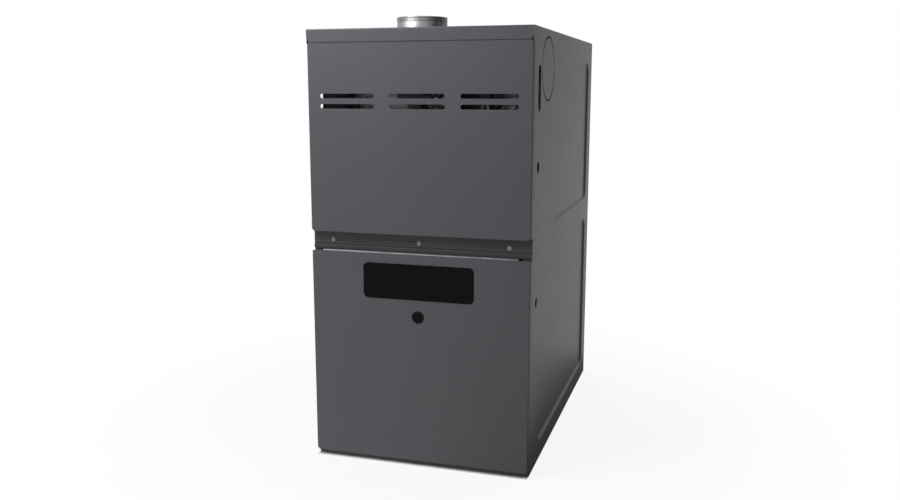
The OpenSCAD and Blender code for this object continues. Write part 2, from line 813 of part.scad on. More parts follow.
// Back plate with straight blades on its rear face
module inducer_wheel() {
    y0 = inducer_front + 9;
    blades = 12;
    r = inducer_wheel_d / 2;
    color("lightgray") translate([inducer_x, y0, tube_top_z]) rotate([-90, 0, 0]) difference() {
        union() {
            cylinder(r = r, h = 1.5);
            cylinder(r = 11, h = 18);
            for (i = [0 : blades - 1]) rotate(360 * i / blades)
                translate([18, -0.6, 1]) cube([r - 19, 1.2, 28]);
        }
        translate([0, 0, -over]) cylinder(r = inducer_shaft_d / 2, h = 20 + over);
    }
}

module inducer_shaft() {
    y1 = inducer_front + 9 + 20;
    color("silver") rod_y([inducer_x, inducer_front - 84, tube_top_z], inducer_shaft_d / 2,
                          y1 - inducer_front + 84);
}

// Shaded-pole motor on three legs, with vent slots round its end bells
module inducer_motor() {
    r = inducer_motor_d / 2;
    len = 62;
    y1 = inducer_front - 5;
    slots = 10;
    color([0.18, 0.18, 0.19]) difference() {
        union() {
            rod_y([inducer_x, y1 - len, tube_top_z], r - 5, len);
            rod_y([inducer_x, y1 - len + 18, tube_top_z], r, 26);
            rod_y([inducer_x, y1 - len - 5, tube_top_z], 9, 6);
            for (i = [0 : 2]) translate([inducer_x, y1 - 2, tube_top_z]) rotate([0, 120 * i, 0])
                rod_y([r - 12, 0, 0], 3.5, 7);
        }
        rod_y([inducer_x, y1 - len - 6, tube_top_z], inducer_shaft_d / 2 + run, len + 8);
        for (i = [0 : slots - 1], y = [y1 - len - over, y1 - 9])
            translate([inducer_x, y, tube_top_z]) rotate([0, 360 * i / slots, 0])
                span([r - 15, 0, -3], [r - 8, 10, 3]);
    }
}

// Cooling fan on the front end of the inducer's shaft
module inducer_cooling_fan() {
    y0 = inducer_front - 82;
    blades = 7;
    color([0.12, 0.12, 0.12]) translate([inducer_x, y0, tube_top_z]) rotate([-90, 0, 0])
        difference() {
            union() {
                cylinder(r = 8, h = 8);
                cylinder(r = 20, h = 1.4);
                for (i = [0 : blades - 1]) rotate(360 * i / blades)
                    rotate([55, 0, 0]) translate([6, 0.5, -4.4]) cube([28, 1.2, 8]);
            }
            translate([0, 0, -over]) cylinder(r = inducer_shaft_d / 2, h = 12);
        }
}

// Diaphragm pressure switch on a plate, with its hose nipple
pressure_x = -collector_half - 5 - 31;
pressure_z = tube_top_z - 2;
pressure_face = vest_front - 34;

module pressure_switch() {
    r = 28;
    color([0.72, 0.72, 0.7]) {
        span([pressure_x - 29, vest_front - 2, pressure_z - 33],
             [pressure_x + 29, vest_front, pressure_z + 33]);
        rod_y([pressure_x, vest_front - 12, pressure_z], r - 6, 11);
        rod_y([pressure_x, vest_front - 16, pressure_z], r, 5);
        rod_y([pressure_x, vest_front - 26, pressure_z], r - 3, 11);
        rod_y([pressure_x, pressure_face + 1, pressure_z], 7, 9);
        rod_y([pressure_x, pressure_face - 8, pressure_z], 2.6, 10);
    }
}

// Hose from the pressure switch to the inducer housing
hose_end = [inducer_x - inducer_d / 2 + 14, inducer_front, tube_top_z - 40];
hose_points = [[pressure_x, pressure_face - 8, pressure_z],
               [pressure_x, pressure_face - 30, pressure_z],
               [pressure_x + 26, inducer_front - 7, pressure_z - 26],
               [pressure_x + 80, inducer_front - 21, pressure_z - 50],
               [hose_end[0] - 6, inducer_front - 27, hose_end[2] - 4],
               [hose_end[0], hose_end[1] - 14, hose_end[2]],
               [hose_end[0], hose_end[1], hose_end[2]]];

module pressure_hose() {
    color([0.15, 0.15, 0.15]) swept(smooth(hose_points, 6), 4, 8);
}

// Spiral of the blower scroll, from the cut-off round to the outlet's front wall
function scroll_point(k, inset) =
    let (a = cutoff_angle - (180 + cutoff_angle) * k / scroll_steps,
         r = scroll_start_r + (scroll_end_r - scroll_start_r) * k / scroll_steps - inset)
    [wheel_y + r * cos(a), wheel_z + r * sin(a)];

function scroll_path(inset) =
    concat([[scroll_point(0, inset)[0], deck_z]],
           [for (k = [0 : scroll_steps]) scroll_point(k, inset)],
           [[scroll_point(scroll_steps, inset)[0], deck_z]]);

// Scroll sheet: up from the cut-off on one side and from the spiral's end on the other
module blower_scroll() {
    outer = scroll_path(0);
    inner = scroll_path(scroll_t);
    color("silver") side_plate(-scroll_half, 2 * scroll_half)
        polygon(concat(outer, [for (k = [len(inner) - 1 : -1 : 0]) inner[k]]));
}

// Side of the scroll with its rolled inlet ring and the flange under the deck
module blower_side() {
    lip = 8;
    color("silver") {
        difference() {
            side_plate(scroll_half, sheet) polygon(scroll_path(-4));
            rod_x([scroll_half - over, wheel_y, wheel_z], inlet_r + lip, sheet + 2 * over);
        }
        translate([scroll_half + sheet, wheel_y, wheel_z]) rotate([0, -90, 0])
            rotate_extrude() translate([inlet_r + lip, lip]) difference() {
                translate([-lip, -lip]) square([lip, lip]);
                circle(lip - sheet);
                translate([-2 * lip, 0]) square(lip);
            }
        span([scroll_half, scroll_point(scroll_steps, -4)[0], deck_z - sheet],
             [scroll_half + 20, scroll_point(0, -4)[0], deck_z]);
    }
}

module blower_side_right() {
    blower_side();
}

module blower_side_left() {
    mirror([1, 0, 0]) blower_side();
}

// Section of one forward-curved blade, between two arcs about a centre ahead of the wheel's rim
module blade_section() {
    r1 = wheel_d / 2 - 18;
    r2 = wheel_d / 2 - 1;
    bow = 17;
    steps = 5;
    centre = [(r1 + r2) / 2 - 2, 12];
    arc = [for (k = [0 : steps]) 212 + 100 * k / steps];
    polygon(concat([for (a = arc) centre + bow * 0.62 * [cos(a), sin(a)]],
                   [for (k = [steps : -1 : 0])
                       centre + (bow * 0.62 + blade_t) * [cos(arc[k]), sin(arc[k])]]));
}

module blade_ring(length) {
    for (i = [0 : blade_count - 1]) rotate(360 * i / blade_count)
        translate([0, 0, -length / 2]) linear_extrude(length) blade_section();
}

// Double-inlet wheel: centre disc on its hub, slotted for the blades, and the two rims
module blower_wheel() {
    r = wheel_d / 2;
    color([0.7, 0.7, 0.72]) translate([0, wheel_y, wheel_z]) rotate([90, 0, 90]) {
        for (s = [-1, 1]) translate([0, 0, s * (wheel_w - rim_t) / 2 - rim_t / 2])
            linear_extrude(rim_t) difference() {
                circle(r);
                circle(r - 16);
            }
        difference() {
            union() {
                translate([0, 0, -1]) cylinder(r = r - 1, h = 2);
                translate([0, 0, -6]) cylinder(r = 17, h = 32);
            }
            translate([0, 0, -10]) cylinder(r = shaft_d / 2, h = 40);
            for (k = [0 : 5]) rotate(60 * k) translate([60, 0, -2]) cylinder(r = 9, h = 4);
            blade_ring(4);
        }
    }
}

// Forward-curved blades, through the disc's slots from rim to rim
module blower_blades() {
    color([0.72, 0.72, 0.74]) translate([0, wheel_y, wheel_z]) rotate([90, 0, 90])
        blade_ring(wheel_w - 2 * rim_t);
}

module blower_shaft() {
    color("silver") rod_x([-12, wheel_y, wheel_z], shaft_d / 2, motor_x + motor_len - 8);
}

// Motor inside the wheel, with end bells, vent slots and the shaft's bore
module blower_motor() {
    r = motor_d / 2;
    slots = 12;
    color([0.16, 0.16, 0.17]) translate([motor_x, wheel_y, wheel_z]) rotate([0, 90, 0])
        difference() {
            union() {
                cylinder(r = r - 7, h = 6);
                translate([0, 0, 5]) cylinder(r = r - 2, h = 20);
                translate([0, 0, 24]) cylinder(r = r, h = motor_len - 34);
                translate([0, 0, motor_len - 11]) cylinder(r = r - 6, h = 11);
            }
            translate([0, 0, -over]) cylinder(r = shaft_d / 2 + run, h = motor_len - 10);
            for (i = [0 : slots - 1]) rotate(360 * i / slots)
                translate([r - 9, -4, 8]) cube([20, 8, 12]);
        }
}

// Band round the motor and its arms to the right side of the blower
module blower_motor_mount() {
    r = motor_d / 2;
    x0 = scroll_half + sheet;
    arms = 4;
    foot_r = inlet_r + 11;
    color("silver") translate([x0, wheel_y, wheel_z]) rotate([0, 90, 0]) difference() {
        union() {
            translate([0, 0, 2]) cylinder(r = r + 2, h = 14);
            for (i = [0 : arms - 1]) rotate(45 + 360 * i / arms) {
                translate([r, -2, 2]) cube([foot_r - r + 8, 4, 10]);
                translate([foot_r - 4, -9, 0]) cube([16, 18, 2.5]);
            }
        }
        translate([0, 0, -over]) cylinder(r = r + run, h = 20);
    }
}

// Panel hung from the deck, with a return along its bottom
module control_panel() {
    color("silver") {
        span([-panel_half, panel_y, deck_z - panel_h], [panel_half, panel_y + sheet, deck_z]);
        span([-panel_half, panel_y, deck_z - sheet], [panel_half, panel_y + 16, deck_z]);
        span([-panel_half, panel_y, deck_z - panel_h],
             [panel_half, panel_y + 12, deck_z - panel_h + sheet]);
    }
}

// Control board on standoffs, with relays, plugs, fuse and the lamp behind the sight glass
module control_board() {
    y1 = panel_y - 9;
    y0 = y1 - 1.6;
    x0 = -96;
    x1 = board_right;
    z0 = sight_z - 55;
    z1 = sight_z + 57;
    parts = [[-84, 34, 28, 18, 15], [-50, 34, 28, 18, 15], [-16, 34, 28, 18, 15],
             [40, 28, 34, 20, 16], [-88, -48, 44, 12, 12], [-38, -50, 30, 10, 14],
             [2, -48, 20, 9, 8], [34, -50, 40, 14, 11], [-60, -8, 26, 26, 3],
             [20, -14, 12, 12, 12], [44, -12, 26, 7, 9], [-88, 2, 10, 18, 10]];
    color("forestgreen") {
        span([x0, y0, z0], [x1, y1, z1]);
        for (x = [x0 + 7, x1 - 7], z = [z0 + 7, z1 - 7]) rod_y([x, y1 - 0.5, z], 3, 9.5);
    }
    color([0.2, 0.2, 0.2]) for (p = parts)
        span([p[0], y0 - p[4], sight_z + p[1]], [p[0] + p[2], y0 + 0.5, sight_z + p[1] + p[3]]);
    color("red") rod_y([0, y0 - 6, sight_z], 2.5, 6.5);
}

// Control transformer: laminated core round a wound coil, on mounting feet
module transformer() {
    x = board_right + 44;
    z = deck_z - 158;
    color([0.3, 0.3, 0.3]) {
        span([x - 30, panel_y - 1.2, z - 24], [x + 30, panel_y, z + 24]);
        difference() {
            span([x - 24, panel_y - 40, z - 21], [x + 24, panel_y - 1, z + 21]);
            for (s = [-1, 1])
                span([x + s * 12 - 6, panel_y - 41, z - 14], [x + s * 12 + 6, panel_y + 1 - 2, z + 14]);
        }
    }
    color("peru") {
        span([x - 17.8, panel_y - 44, z - 13.8], [x - 6.2, panel_y - 2, z + 13.8]);
        span([x + 6.2, panel_y - 44, z - 13.8], [x + 17.8, panel_y - 2, z + 13.8]);
        span([x - 17.8, panel_y - 46, z - 13.8], [x + 17.8, panel_y - 40, z + 13.8]);
    }
}

// Door switch, bored for its plunger
module door_switch() {
    y0 = post_in + 2;
    color([0.14, 0.14, 0.14]) difference() {
        union() {
            span([switch_x - 9, y0, switch_z - 12], [switch_x + 9, panel_y, switch_z + 12]);
            span([switch_x - 12, y0, switch_z - 15], [switch_x + 12, y0 + 2, switch_z + 15]);
        }
        rod_y([switch_x, y0 - over, switch_z], 3.5 + 2 * run, 24);
    }
}

module door_switch_plunger() {
    color("whitesmoke") rod_y([switch_x, door_in + gap, switch_z], 3.5, 28);
}

// Box for the power cable, open at its entry and covered at the front
module junction_box() {
    x0 = x_in - 38;
    y0 = power_entry_y - 30;
    y1 = power_entry_y + 30;
    color("silver") difference() {
        span([x0, y0, power_entry_z - 32], [x_in, y1, power_entry_z + 40]);
        span([x0 + sheet, y0 + sheet, power_entry_z - 32 + sheet],
             [x_in - sheet, y1 - sheet, power_entry_z + 40 - sheet]);
        rod_x([x_in - 2 * sheet, power_entry_y, power_entry_z], power_entry_d / 2 + 1, 3 * sheet);
    }
}

// Wires held between their terminals: over the gas valve, and from the inducer motor to the board
valve_wire_points = [[valve_x - 17, manifold_y + 20, valve_z + valve_h + 16],
                     [valve_x - 17, manifold_y + 20, valve_z + valve_h + 34],
                     [valve_x - 6, manifold_y + 18, valve_z + valve_h + 70],
                     [valve_x + 24, manifold_y + 28, valve_z + valve_h + 108],
                     [valve_x + 40, manifold_y + 38, valve_z + valve_h + 70],
                     [valve_x + 30, manifold_y + 36, valve_z + valve_h + 30],
                     [valve_x + 16, manifold_y + 20, valve_z + valve_h + 24],
                     [valve_x + 16, manifold_y + 20, valve_z + valve_h + 16]];

module valve_wire() {
    color("gold") swept(smooth(valve_wire_points, 5), 1.8, 8);
}

inducer_wire_points = [[inducer_x + 29.6, inducer_front - 36, tube_top_z - 29.6],
                       [inducer_x + 35, inducer_front - 36, tube_top_z - 35],
                       [inducer_x + 52, inducer_front - 38, tube_top_z - 62],
                       [inducer_x + 54, inducer_front - 40, tube_top_z - 92],
                       [inducer_x + 28, inducer_front - 34, tube_top_z - 124],
                       [inducer_x - 50, inducer_front - 22, burner_z + 72],
                       [inducer_x - 120, inducer_front - 8, burner_z + 60],
                       [wire_hole[0] + 8, wire_hole[1], burner_z + 30],
                       [wire_hole[0] - 2, wire_hole[1], burner_z - 20],
                       [wire_hole[0], wire_hole[1], deck_z],
                       [wire_hole[0] - 14, wire_hole[1] - 6, deck_z - 34],
                       [-panel_half - 14, panel_y + 16, deck_z - 78],
                       [-panel_half - 12, panel_y - 8, deck_z - 106],
                       [-panel_half + 24, panel_y - 20, sight_z + 13],
                       [-106, panel_y - 16, sight_z + 11],
                       [-88, panel_y - 16, sight_z + 11]];

module inducer_wire() {
    color("white") swept(smooth(inducer_wire_points, 5), 2.2, 8);
}

// Folded side flange of a door pan, from z0 to z1 on the right
module door_side(z0, z1) {
    translate([x_out, door_face, z0]) linear_extrude(z1 - z0) mirror([0, 1]) fold_section();
    span([x_in, door_face + fold_r, z0], [x_out, door_back, z1]);
}

// Folded bottom flange of a door pan, whose lower face is at z0
module door_bottom(z0) {
    half = x_out - corner_clip;
    translate([0, door_face, z0]) side_plate(-half, 2 * half) mirror([1, 1]) fold_section();
    span([-half, door_face + fold_r, z0], [half, door_back, z0 + sheet]);
}

// Upper door, seen from the front: its tongue passes up behind the lip
module upper_door_outline() {
    c = corner_clip;
    side = x_out - fold_r;
    neck = x_in - 3;
    z0 = upper_door_z;
    z1 = lip_z - gap + tongue_h;
    polygon([[-x_out + c, z0 + fold_r], [x_out - c, z0 + fold_r], [side, z0 + c],
             [side, shoulder_z], [neck, shoulder_z], [neck, z1], [-neck, z1],
             [-neck, shoulder_z], [-side, shoulder_z], [-side, z0 + c]]);
}

module upper_door() {
    louvre_z = cabinet_h - lip_h - louvre_drop;
    color([0.36, 0.36, 0.38]) {
        front_plate(door_face, sheet) difference() {
            upper_door_outline();
            for (i = [-1 : 1], j = [0, 1])
                translate([i * louvre_step_x, louvre_z - j * louvre_step_z])
                    obround(louvre_len, louvre_h);
        }
        for (s = [0, 1]) mirror([s, 0, 0]) door_side(upper_door_z + corner_clip, shoulder_z);
        door_bottom(upper_door_z);
    }
}

// Lower door: its top folds back under the rail and up behind it
module lower_door() {
    c = corner_clip;
    half = x_out - corner_relief;
    side = x_out - fold_r;
    z1 = lower_door_top;
    color([0.32, 0.32, 0.34]) difference() {
        union() {
            front_plate(door_face, sheet)
                polygon([[-x_out + c, door_foot + fold_r], [x_out - c, door_foot + fold_r],
                         [side, door_foot + c], [side, z1 - fold_r], [-side, z1 - fold_r],
                         [-side, door_foot + c]]);
            translate([0, door_face, z1]) side_plate(-half, 2 * half) mirror([1, 0])
                fold_section();
            span([-half, door_face + fold_r, z1 - sheet], [half, post_in + gap, z1]);
            span([-half, post_y + gap, z1 - sheet], [half, post_in + gap, z1 + tongue_h]);
            for (s = [0, 1]) mirror([s, 0, 0]) door_side(door_foot + c, z1 - 4);
            door_bottom(door_foot);
        }
        rod_y([0, door_face - over, sight_z], sight_d / 2 - 3, sheet + 2 * over);
    }
}

// Bare plate on the lower door
module blank_plate() {
    color([0.07, 0.07, 0.08]) translate([0, 0, plate_z]) front_plate(door_face - plate_t, plate_t)
        rounded_rect(plate_w, plate_h, plate_r);
}

// Round window snapped into the lower door
module sight_glass() {
    r = sight_d / 2;
    color([0.05, 0.05, 0.06]) translate([0, door_face, sight_z]) rotate([90, 0, 0])
        rotate_extrude() polygon([[0, -sheet - 3], [r - 4.5, -sheet - 3],
                                  [r - 3 - run, -sheet - 0.5], [r - 3 - run, 0], [r, 0],
                                  [r, 0.7], [r - 0.6, 1.3], [r - 3, 1.3], [r - 4, 0.8], [0, 0.8]]);
}

left_side_panel();
right_side_panel();
back_panel();
base_frame();
top_panel();
vent_collar();
divider_rail();
rail_screws();
blower_deck();
vestibule_panel();
left_liner();
right_liner();
back_liner();
heat_tube(0);  // heat_tube_1
heat_tube(1);  // heat_tube_2
heat_tube(2);  // heat_tube_3
heat_tube(3);  // heat_tube_4
tube_baffle();
collector_box();
burner_box();
burner(0);  // burner_1
burner(1);  // burner_2
burner(2);  // burner_3
burner(3);  // burner_4
gas_manifold();
gas_orifices();
gas_valve();
gas_switch_lever();
hot_surface_igniter();
flame_sensor();
rollout_switch();
rollout_reset_button();
limit_switch();
inducer_housing();
inducer_wheel();
inducer_shaft();
inducer_motor();
inducer_cooling_fan();
pressure_switch();
pressure_hose();
blower_scroll();
blower_side_left();
blower_side_right();
blower_wheel();
blower_blades();
blower_shaft();
blower_motor();
blower_motor_mount();
control_panel();
control_board();
transformer();
door_switch();
door_switch_plunger();
junction_box();
valve_wire();
inducer_wire();
upper_door();
lower_door();
blank_plate();
sight_glass();
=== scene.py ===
import json
import math
import random

import bpy
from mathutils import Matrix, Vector


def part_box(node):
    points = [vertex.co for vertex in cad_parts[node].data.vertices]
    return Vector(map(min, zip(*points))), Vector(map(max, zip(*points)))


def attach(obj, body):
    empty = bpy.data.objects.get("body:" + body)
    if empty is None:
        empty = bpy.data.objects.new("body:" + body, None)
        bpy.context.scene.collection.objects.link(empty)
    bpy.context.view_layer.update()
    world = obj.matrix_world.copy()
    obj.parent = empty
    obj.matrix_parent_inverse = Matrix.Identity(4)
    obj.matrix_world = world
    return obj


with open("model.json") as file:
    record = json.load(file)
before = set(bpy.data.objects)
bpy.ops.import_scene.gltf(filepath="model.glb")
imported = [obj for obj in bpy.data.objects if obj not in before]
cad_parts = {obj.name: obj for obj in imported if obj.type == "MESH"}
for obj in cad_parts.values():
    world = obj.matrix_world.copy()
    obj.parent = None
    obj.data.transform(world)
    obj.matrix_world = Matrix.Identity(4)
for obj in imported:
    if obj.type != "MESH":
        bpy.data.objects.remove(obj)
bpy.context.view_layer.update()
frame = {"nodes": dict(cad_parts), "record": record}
nodes = frame["nodes"]
print("frame loaded:", len(nodes), "nodes")


view = {"place": (0.56685, -2.0038, 0.76037), "pitch": 79.837, "yaw": 16.965, "lens": 35.84,
        "sensor": 36, "near": 0.05}

camData = bpy.data.cameras.new("camera")
camData.sensor_width = view["sensor"]
camData.lens = view["lens"]
camData.clip_start = view["near"]
camera = bpy.data.objects.new("camera", camData)
camera.location = view["place"]
camera.rotation_euler = (math.radians(view["pitch"]), 0, math.radians(view["yaw"]))
bpy.context.scene.collection.objects.link(camera)
bpy.context.scene.camera = camera


class Wire:
    # a socket of a node, so that shader maths reads as an expression
    def __init__(self, shading, socket):
        self.shading = shading
        self.socket = socket

    def join(self, operation, first, second):
        return self.shading.node("ShaderNodeMath", {"operation": operation}, {0: first, 1: second})

    def maths(self, operation, other=0.0):
        return self.join(operation, self, other)

    def __add__(self, other):
        return self.join("ADD", self, other)

    def __radd__(self, other):
        return self.join("ADD", other, self)

    def __sub__(self, other):
        return self.join("SUBTRACT", self, other)

    def __rsub__(self, other):
        return self.join("SUBTRACT", other, self)

    def __mul__(self, other):
        return self.join("MULTIPLY", self, other)

    def __rmul__(self, other):
        return self.join("MULTIPLY", other, self)

    def __gt__(self, other):
        return self.join("GREATER_THAN", self, other)

    def __lt__(self, other):
        return self.join("LESS_THAN", self, other)


class Shading:
    # the nodes of one material or of the world
    def __init__(self, tree):
        self.tree = tree

    def node(self, kind, settings=None, sockets=None, output=0):
        made = self.tree.nodes.new(kind)
        for key, value in (settings or {}).items():
            if key == "stops":
                ramp = made.color_ramp
                while len(ramp.elements) < len(value):
                    ramp.elements.new(0.5)
                for element, (place, colour) in zip(ramp.elements, value):
                    element.position = place
                    element.color = (*colour, 1)
            else:
                setattr(made, key, value)
        for key, value in (sockets or {}).items():
            self.feed(made.inputs[key], value)
        if output is None:
            return [Wire(self, out) for out in made.outputs]
        return Wire(self, made.outputs[output])

    def feed(self, socket, value):
        if isinstance(value, Wire):
            self.tree.links.new(value.socket, socket)
        elif hasattr(value, "__len__") and len(value) == 3 and socket.type == "RGBA":
            socket.default_value = (*value, 1)
        else:
            socket.default_value = value


class Finish(Shading):
    # one material: its principled shader, and the patterns that feed it
    def __init__(self, name, **constants):
        self.material = bpy.data.materials.new(name)
        self.material.use_nodes = True
        super().__init__(self.material.node_tree)
        self.shader = self.tree.nodes["Principled BSDF"]
        for socketName, value in constants.items():
            self.set(socketName.replace("_", " "), value)

    def surface(self):
        return Wire(self, self.shader.outputs[0])

    def set(self, socketName, value):
        self.feed(self.shader.inputs[socketName], value)

    def place(self):
        return self.node("ShaderNodeTexCoord", output="Object")

    def noise(self, scale, detail=3.0, roughness=0.5, stretch=None):
        where = self.place()
        if stretch:
            where = self.node("ShaderNodeMapping", None, {"Vector": where, "Scale": stretch})
        return self.node("ShaderNodeTexNoise", None,
                         {"Vector": where, "Scale": scale, "Detail": detail, "Roughness": roughness})

    def ramp(self, factor, *stops):
        return self.node("ShaderNodeValToRGB", {"stops": stops}, {0: factor})

    def spread(self, factor, low, high):
        # a noise mostly lies between 0.3 and 0.7, which is stretched to run from low to high
        return self.node("ShaderNodeMapRange", None,
                         {"Value": factor, "From Min": 0.3, "From Max": 0.7, "To Min": low, "To Max": high})

    def blend(self, factor, first, second):
        return self.node("ShaderNodeMix", {"data_type": "RGBA"},
                         {0: factor, 6: first, 7: second}, output=2)

    def bump(self, height, strength, distance):
        return self.node("ShaderNodeBump", None,
                         {"Height": height, "Strength": strength, "Distance": distance})

    def xyz(self):
        return self.node("ShaderNodeSeparateXYZ", None, {0: self.place()}, output=None)


paint = {"colour": (0.0846, 0.083, 0.0885), "uneven": 0.025, "mottle": 9, "rough": 0.46, "grain": 900}
knockOut = {"side": 0.2, "y": -0.225, "z": 0.8, "radius": 0.0614, "half": 0.0021, "bridge": 0.007,
            "ringShade": (0.012, 0.012, 0.012), "depth": 0.9, "duller": 0.5}
foldHighlight = {"low": 0.4395, "high": 0.4414, "front": -0.3622, "patches": 28, "least": 0.3,
              "bright": (0.42, 0.42, 0.42)}
# a face is inside where its place times its normal falls below minus one of these, in metres
bareInside = {"x": 0.2, "y": 0.3, "z": 0.87, "metal": 0.5}


def cabinetPaint():
    finish = Finish("cabinetPaint", Specular_IOR_Level=0.32)
    patches = finish.noise(paint["mottle"], 4)
    darker = [(1 - paint["uneven"]) * c for c in paint["colour"]]
    lighter = [(1 + paint["uneven"]) * c for c in paint["colour"]]
    colour = finish.blend(finish.spread(patches, 0, 1), darker, lighter)
    # painted shade: the scored ring of the right side is darkened in and beside its groove, standing in for
    # the groove's shadow line, but not at its level ends
    x, y, z = finish.xyz()
    along, height = y - knockOut["y"], z - knockOut["z"]
    out = (along * along + height * height).maths("SQRT")
    ring = (out > knockOut["radius"] - knockOut["half"]) * (out < knockOut["radius"] + knockOut["half"])
    scored = ring * (x > knockOut["side"]) * (height.maths("ABSOLUTE") > knockOut["bridge"])
    colour = finish.blend(scored * knockOut["depth"], colour, knockOut["ringShade"])
    # painted highlight: the lower door's top fold is painted lighter in patches, standing in for the light
    # that its bend catches
    fold = (z > foldHighlight["low"]) * (z < foldHighlight["high"]) * (y < foldHighlight["front"])
    highlightPatches = finish.spread(finish.noise(foldHighlight["patches"], 2), foldHighlight["least"], 1.0)
    colour = finish.blend(fold * highlightPatches, colour, foldHighlight["bright"])
    # the sheet is painted outside only, and bare zinc inside
    nx, ny, nz = finish.node("ShaderNodeSeparateXYZ", None,
                             {0: finish.node("ShaderNodeTexCoord", output="Normal")}, output=None)
    bare = ((x * nx < -bareInside["x"]) + (y * ny < -bareInside["y"]) + (z * nz < -bareInside["z"])) > 0.5
    zinc = finish.blend(finish.noise(140, 4), (0.58, 0.58, 0.59), (0.68, 0.68, 0.69))
    finish.set("Base Color", finish.blend(bare, colour, zinc))
    finish.set("Metallic", bare * bareInside["metal"])
    gloss = finish.spread(finish.noise(30, 3), paint["rough"] - 0.012, paint["rough"] + 0.014)
    finish.set("Roughness", gloss + scored * knockOut["duller"])
    finish.set("Normal", finish.bump(finish.noise(paint["grain"], 2), 0.25, 0.0003))
    return finish.material


railCreaseShade = {"low": 0.4503, "high": 0.4532, "front": -0.34, "depth": 0.7}


def railPaint():
    finish = Finish("railPaint", Specular_IOR_Level=0.3)
    patches = finish.noise(paint["mottle"], 4)
    plain = finish.blend(finish.spread(patches, 0, 1), (0.043, 0.043, 0.042), (0.056, 0.055, 0.053))
    x, y, z = finish.xyz()
    # painted shade: a near-black line along the crease above the rail's hem, standing in for the shadow in it
    creaseShade = (z > railCreaseShade["low"]) * (z < railCreaseShade["high"]) * (y < railCreaseShade["front"])
    finish.set("Base Color", finish.blend(creaseShade * railCreaseShade["depth"], plain, (0.008, 0.008, 0.008)))
    finish.set("Roughness", finish.spread(finish.noise(16, 3), 0.46, 0.56))
    finish.set("Normal", finish.bump(finish.noise(paint["grain"], 2), 0.25, 0.0003))
    return finish.material


def plateBlack():
    finish = Finish("plateBlack", Specular_IOR_Level=0.05)
    finish.set("Base Color", finish.blend(finish.noise(30, 3), (0.003, 0.003, 0.003), (0.005, 0.005, 0.005)))
    finish.set("Roughness", finish.spread(finish.noise(22, 3), 0.38, 0.46))
    finish.set("Normal", finish.bump(finish.noise(1600, 2), 0.12, 0.0002))
    return finish.material


sightRim = {"inner": 0.0088, "duller": 0.24}


def sightLens():
    # the clear middle is smooth and deep, the snap-in rim a little duller
    finish = Finish("sightLens", Specular_IOR_Level=0.06)
    low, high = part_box("sight_glass")
    centre = (low + high) / 2
    x, y, z = finish.xyz()
    across = (x - centre.x) * (x - centre.x) + (z - centre.z) * (z - centre.z)
    rim = across > sightRim["inner"] ** 2
    finish.set("Base Color", finish.blend(rim, (0.002, 0.003, 0.003), (0.004, 0.004, 0.005)))
    finish.set("Roughness", finish.spread(finish.noise(300, 2), 0.06, 0.1) + rim * sightRim["duller"])
    finish.set("Coat Weight", (1 - rim) * 0.02)
    return finish.material


def spangle(name, base, rough, scale, metal, contrast):
    # zinc coat: crystals of different brightness with soft borders
    finish = Finish(name, Metallic=metal)
    cells = finish.node("ShaderNodeTexVoronoi", {"feature": "F1"},
                        {"Vector": finish.place(), "Scale": scale, "Randomness": 1.0}, output=1)
    shade = finish.node("ShaderNodeSeparateColor", None, {0: cells})
    fine = finish.noise(scale * 7, 3)
    level = shade * 0.7 + fine * 0.3
    low = [c * (1 - contrast) for c in base]
    high = [min(1, c * (1 + contrast)) for c in base]
    finish.set("Base Color", finish.blend(finish.spread(level, 0, 1), low, high))
    finish.set("Roughness", finish.spread(level, rough - 0.07, rough + 0.08))
    finish.set("Normal", finish.bump(finish.noise(scale * 3, 3), 0.12, 0.0006))
    return finish.material


def galvanised():
    return spangle("galvanised", (0.5, 0.51, 0.52), 0.38, 150, 1.0, 0.09)


def zincPlate():
    finish = Finish("zincPlate", Metallic=1.0)
    finish.set("Base Color", finish.blend(finish.noise(260, 3), (0.7, 0.7, 0.69), (0.84, 0.84, 0.85)))
    finish.set("Roughness", finish.spread(finish.noise(420, 2), 0.18, 0.3))
    finish.set("Normal", finish.bump(finish.noise(900, 2), 0.15, 0.0002))
    return finish.material


def collarZinc():
    # dull rolled sheet with a faint spangle
    return spangle("collarZinc", (0.265, 0.265, 0.26), 0.42, 120, 1.0, 0.04)


heat = {"from": -0.2, "to": 0.02, "below": 0.58, "depth": 0.75}


def aluminised():
    # matt coat, tinted straw and blue where the flame enters the lowest run
    finish = Finish("aluminised", Metallic=0.85)
    mottle = finish.noise(60, 4)
    plain = finish.blend(finish.spread(mottle, 0, 1), (0.36, 0.36, 0.35), (0.48, 0.48, 0.46))
    x, y, z = finish.xyz()
    along = finish.node("ShaderNodeMapRange", None,
                        {"Value": y, "From Min": heat["from"], "From Max": heat["to"]})
    wander = along + finish.noise(18, 3) * 0.3
    tint = finish.ramp(wander, (0.0, (0.33, 0.24, 0.16)), (0.3, (0.36, 0.29, 0.17)),
                       (0.55, (0.22, 0.19, 0.26)), (0.8, (0.22, 0.26, 0.33)), (1.0, (0.42, 0.42, 0.41)))
    warm = (z < heat["below"]) * (1 - along) * heat["depth"]
    finish.set("Base Color", finish.blend(warm, plain, tint))
    finish.set("Roughness", finish.spread(mottle, 0.42, 0.58))
    finish.set("Normal", finish.bump(finish.noise(500, 3), 0.2, 0.0003))
    return finish.material


def foilFace():
    finish = Finish("foilFace", Metallic=0.9)
    crinkle = finish.noise(110, 5, 0.6)
    ridges = finish.node("ShaderNodeTexVoronoi", {"feature": "DISTANCE_TO_EDGE"},
                         {"Vector": finish.place(), "Scale": 75.0})
    finish.set("Base Color", finish.blend(crinkle, (0.6, 0.61, 0.62), (0.7, 0.71, 0.72)))
    finish.set("Roughness", finish.spread(crinkle, 0.36, 0.46))
    finish.set("Normal", finish.bump(crinkle * 0.6 + ridges * 0.8, 0.4, 0.0012))
    return finish.material


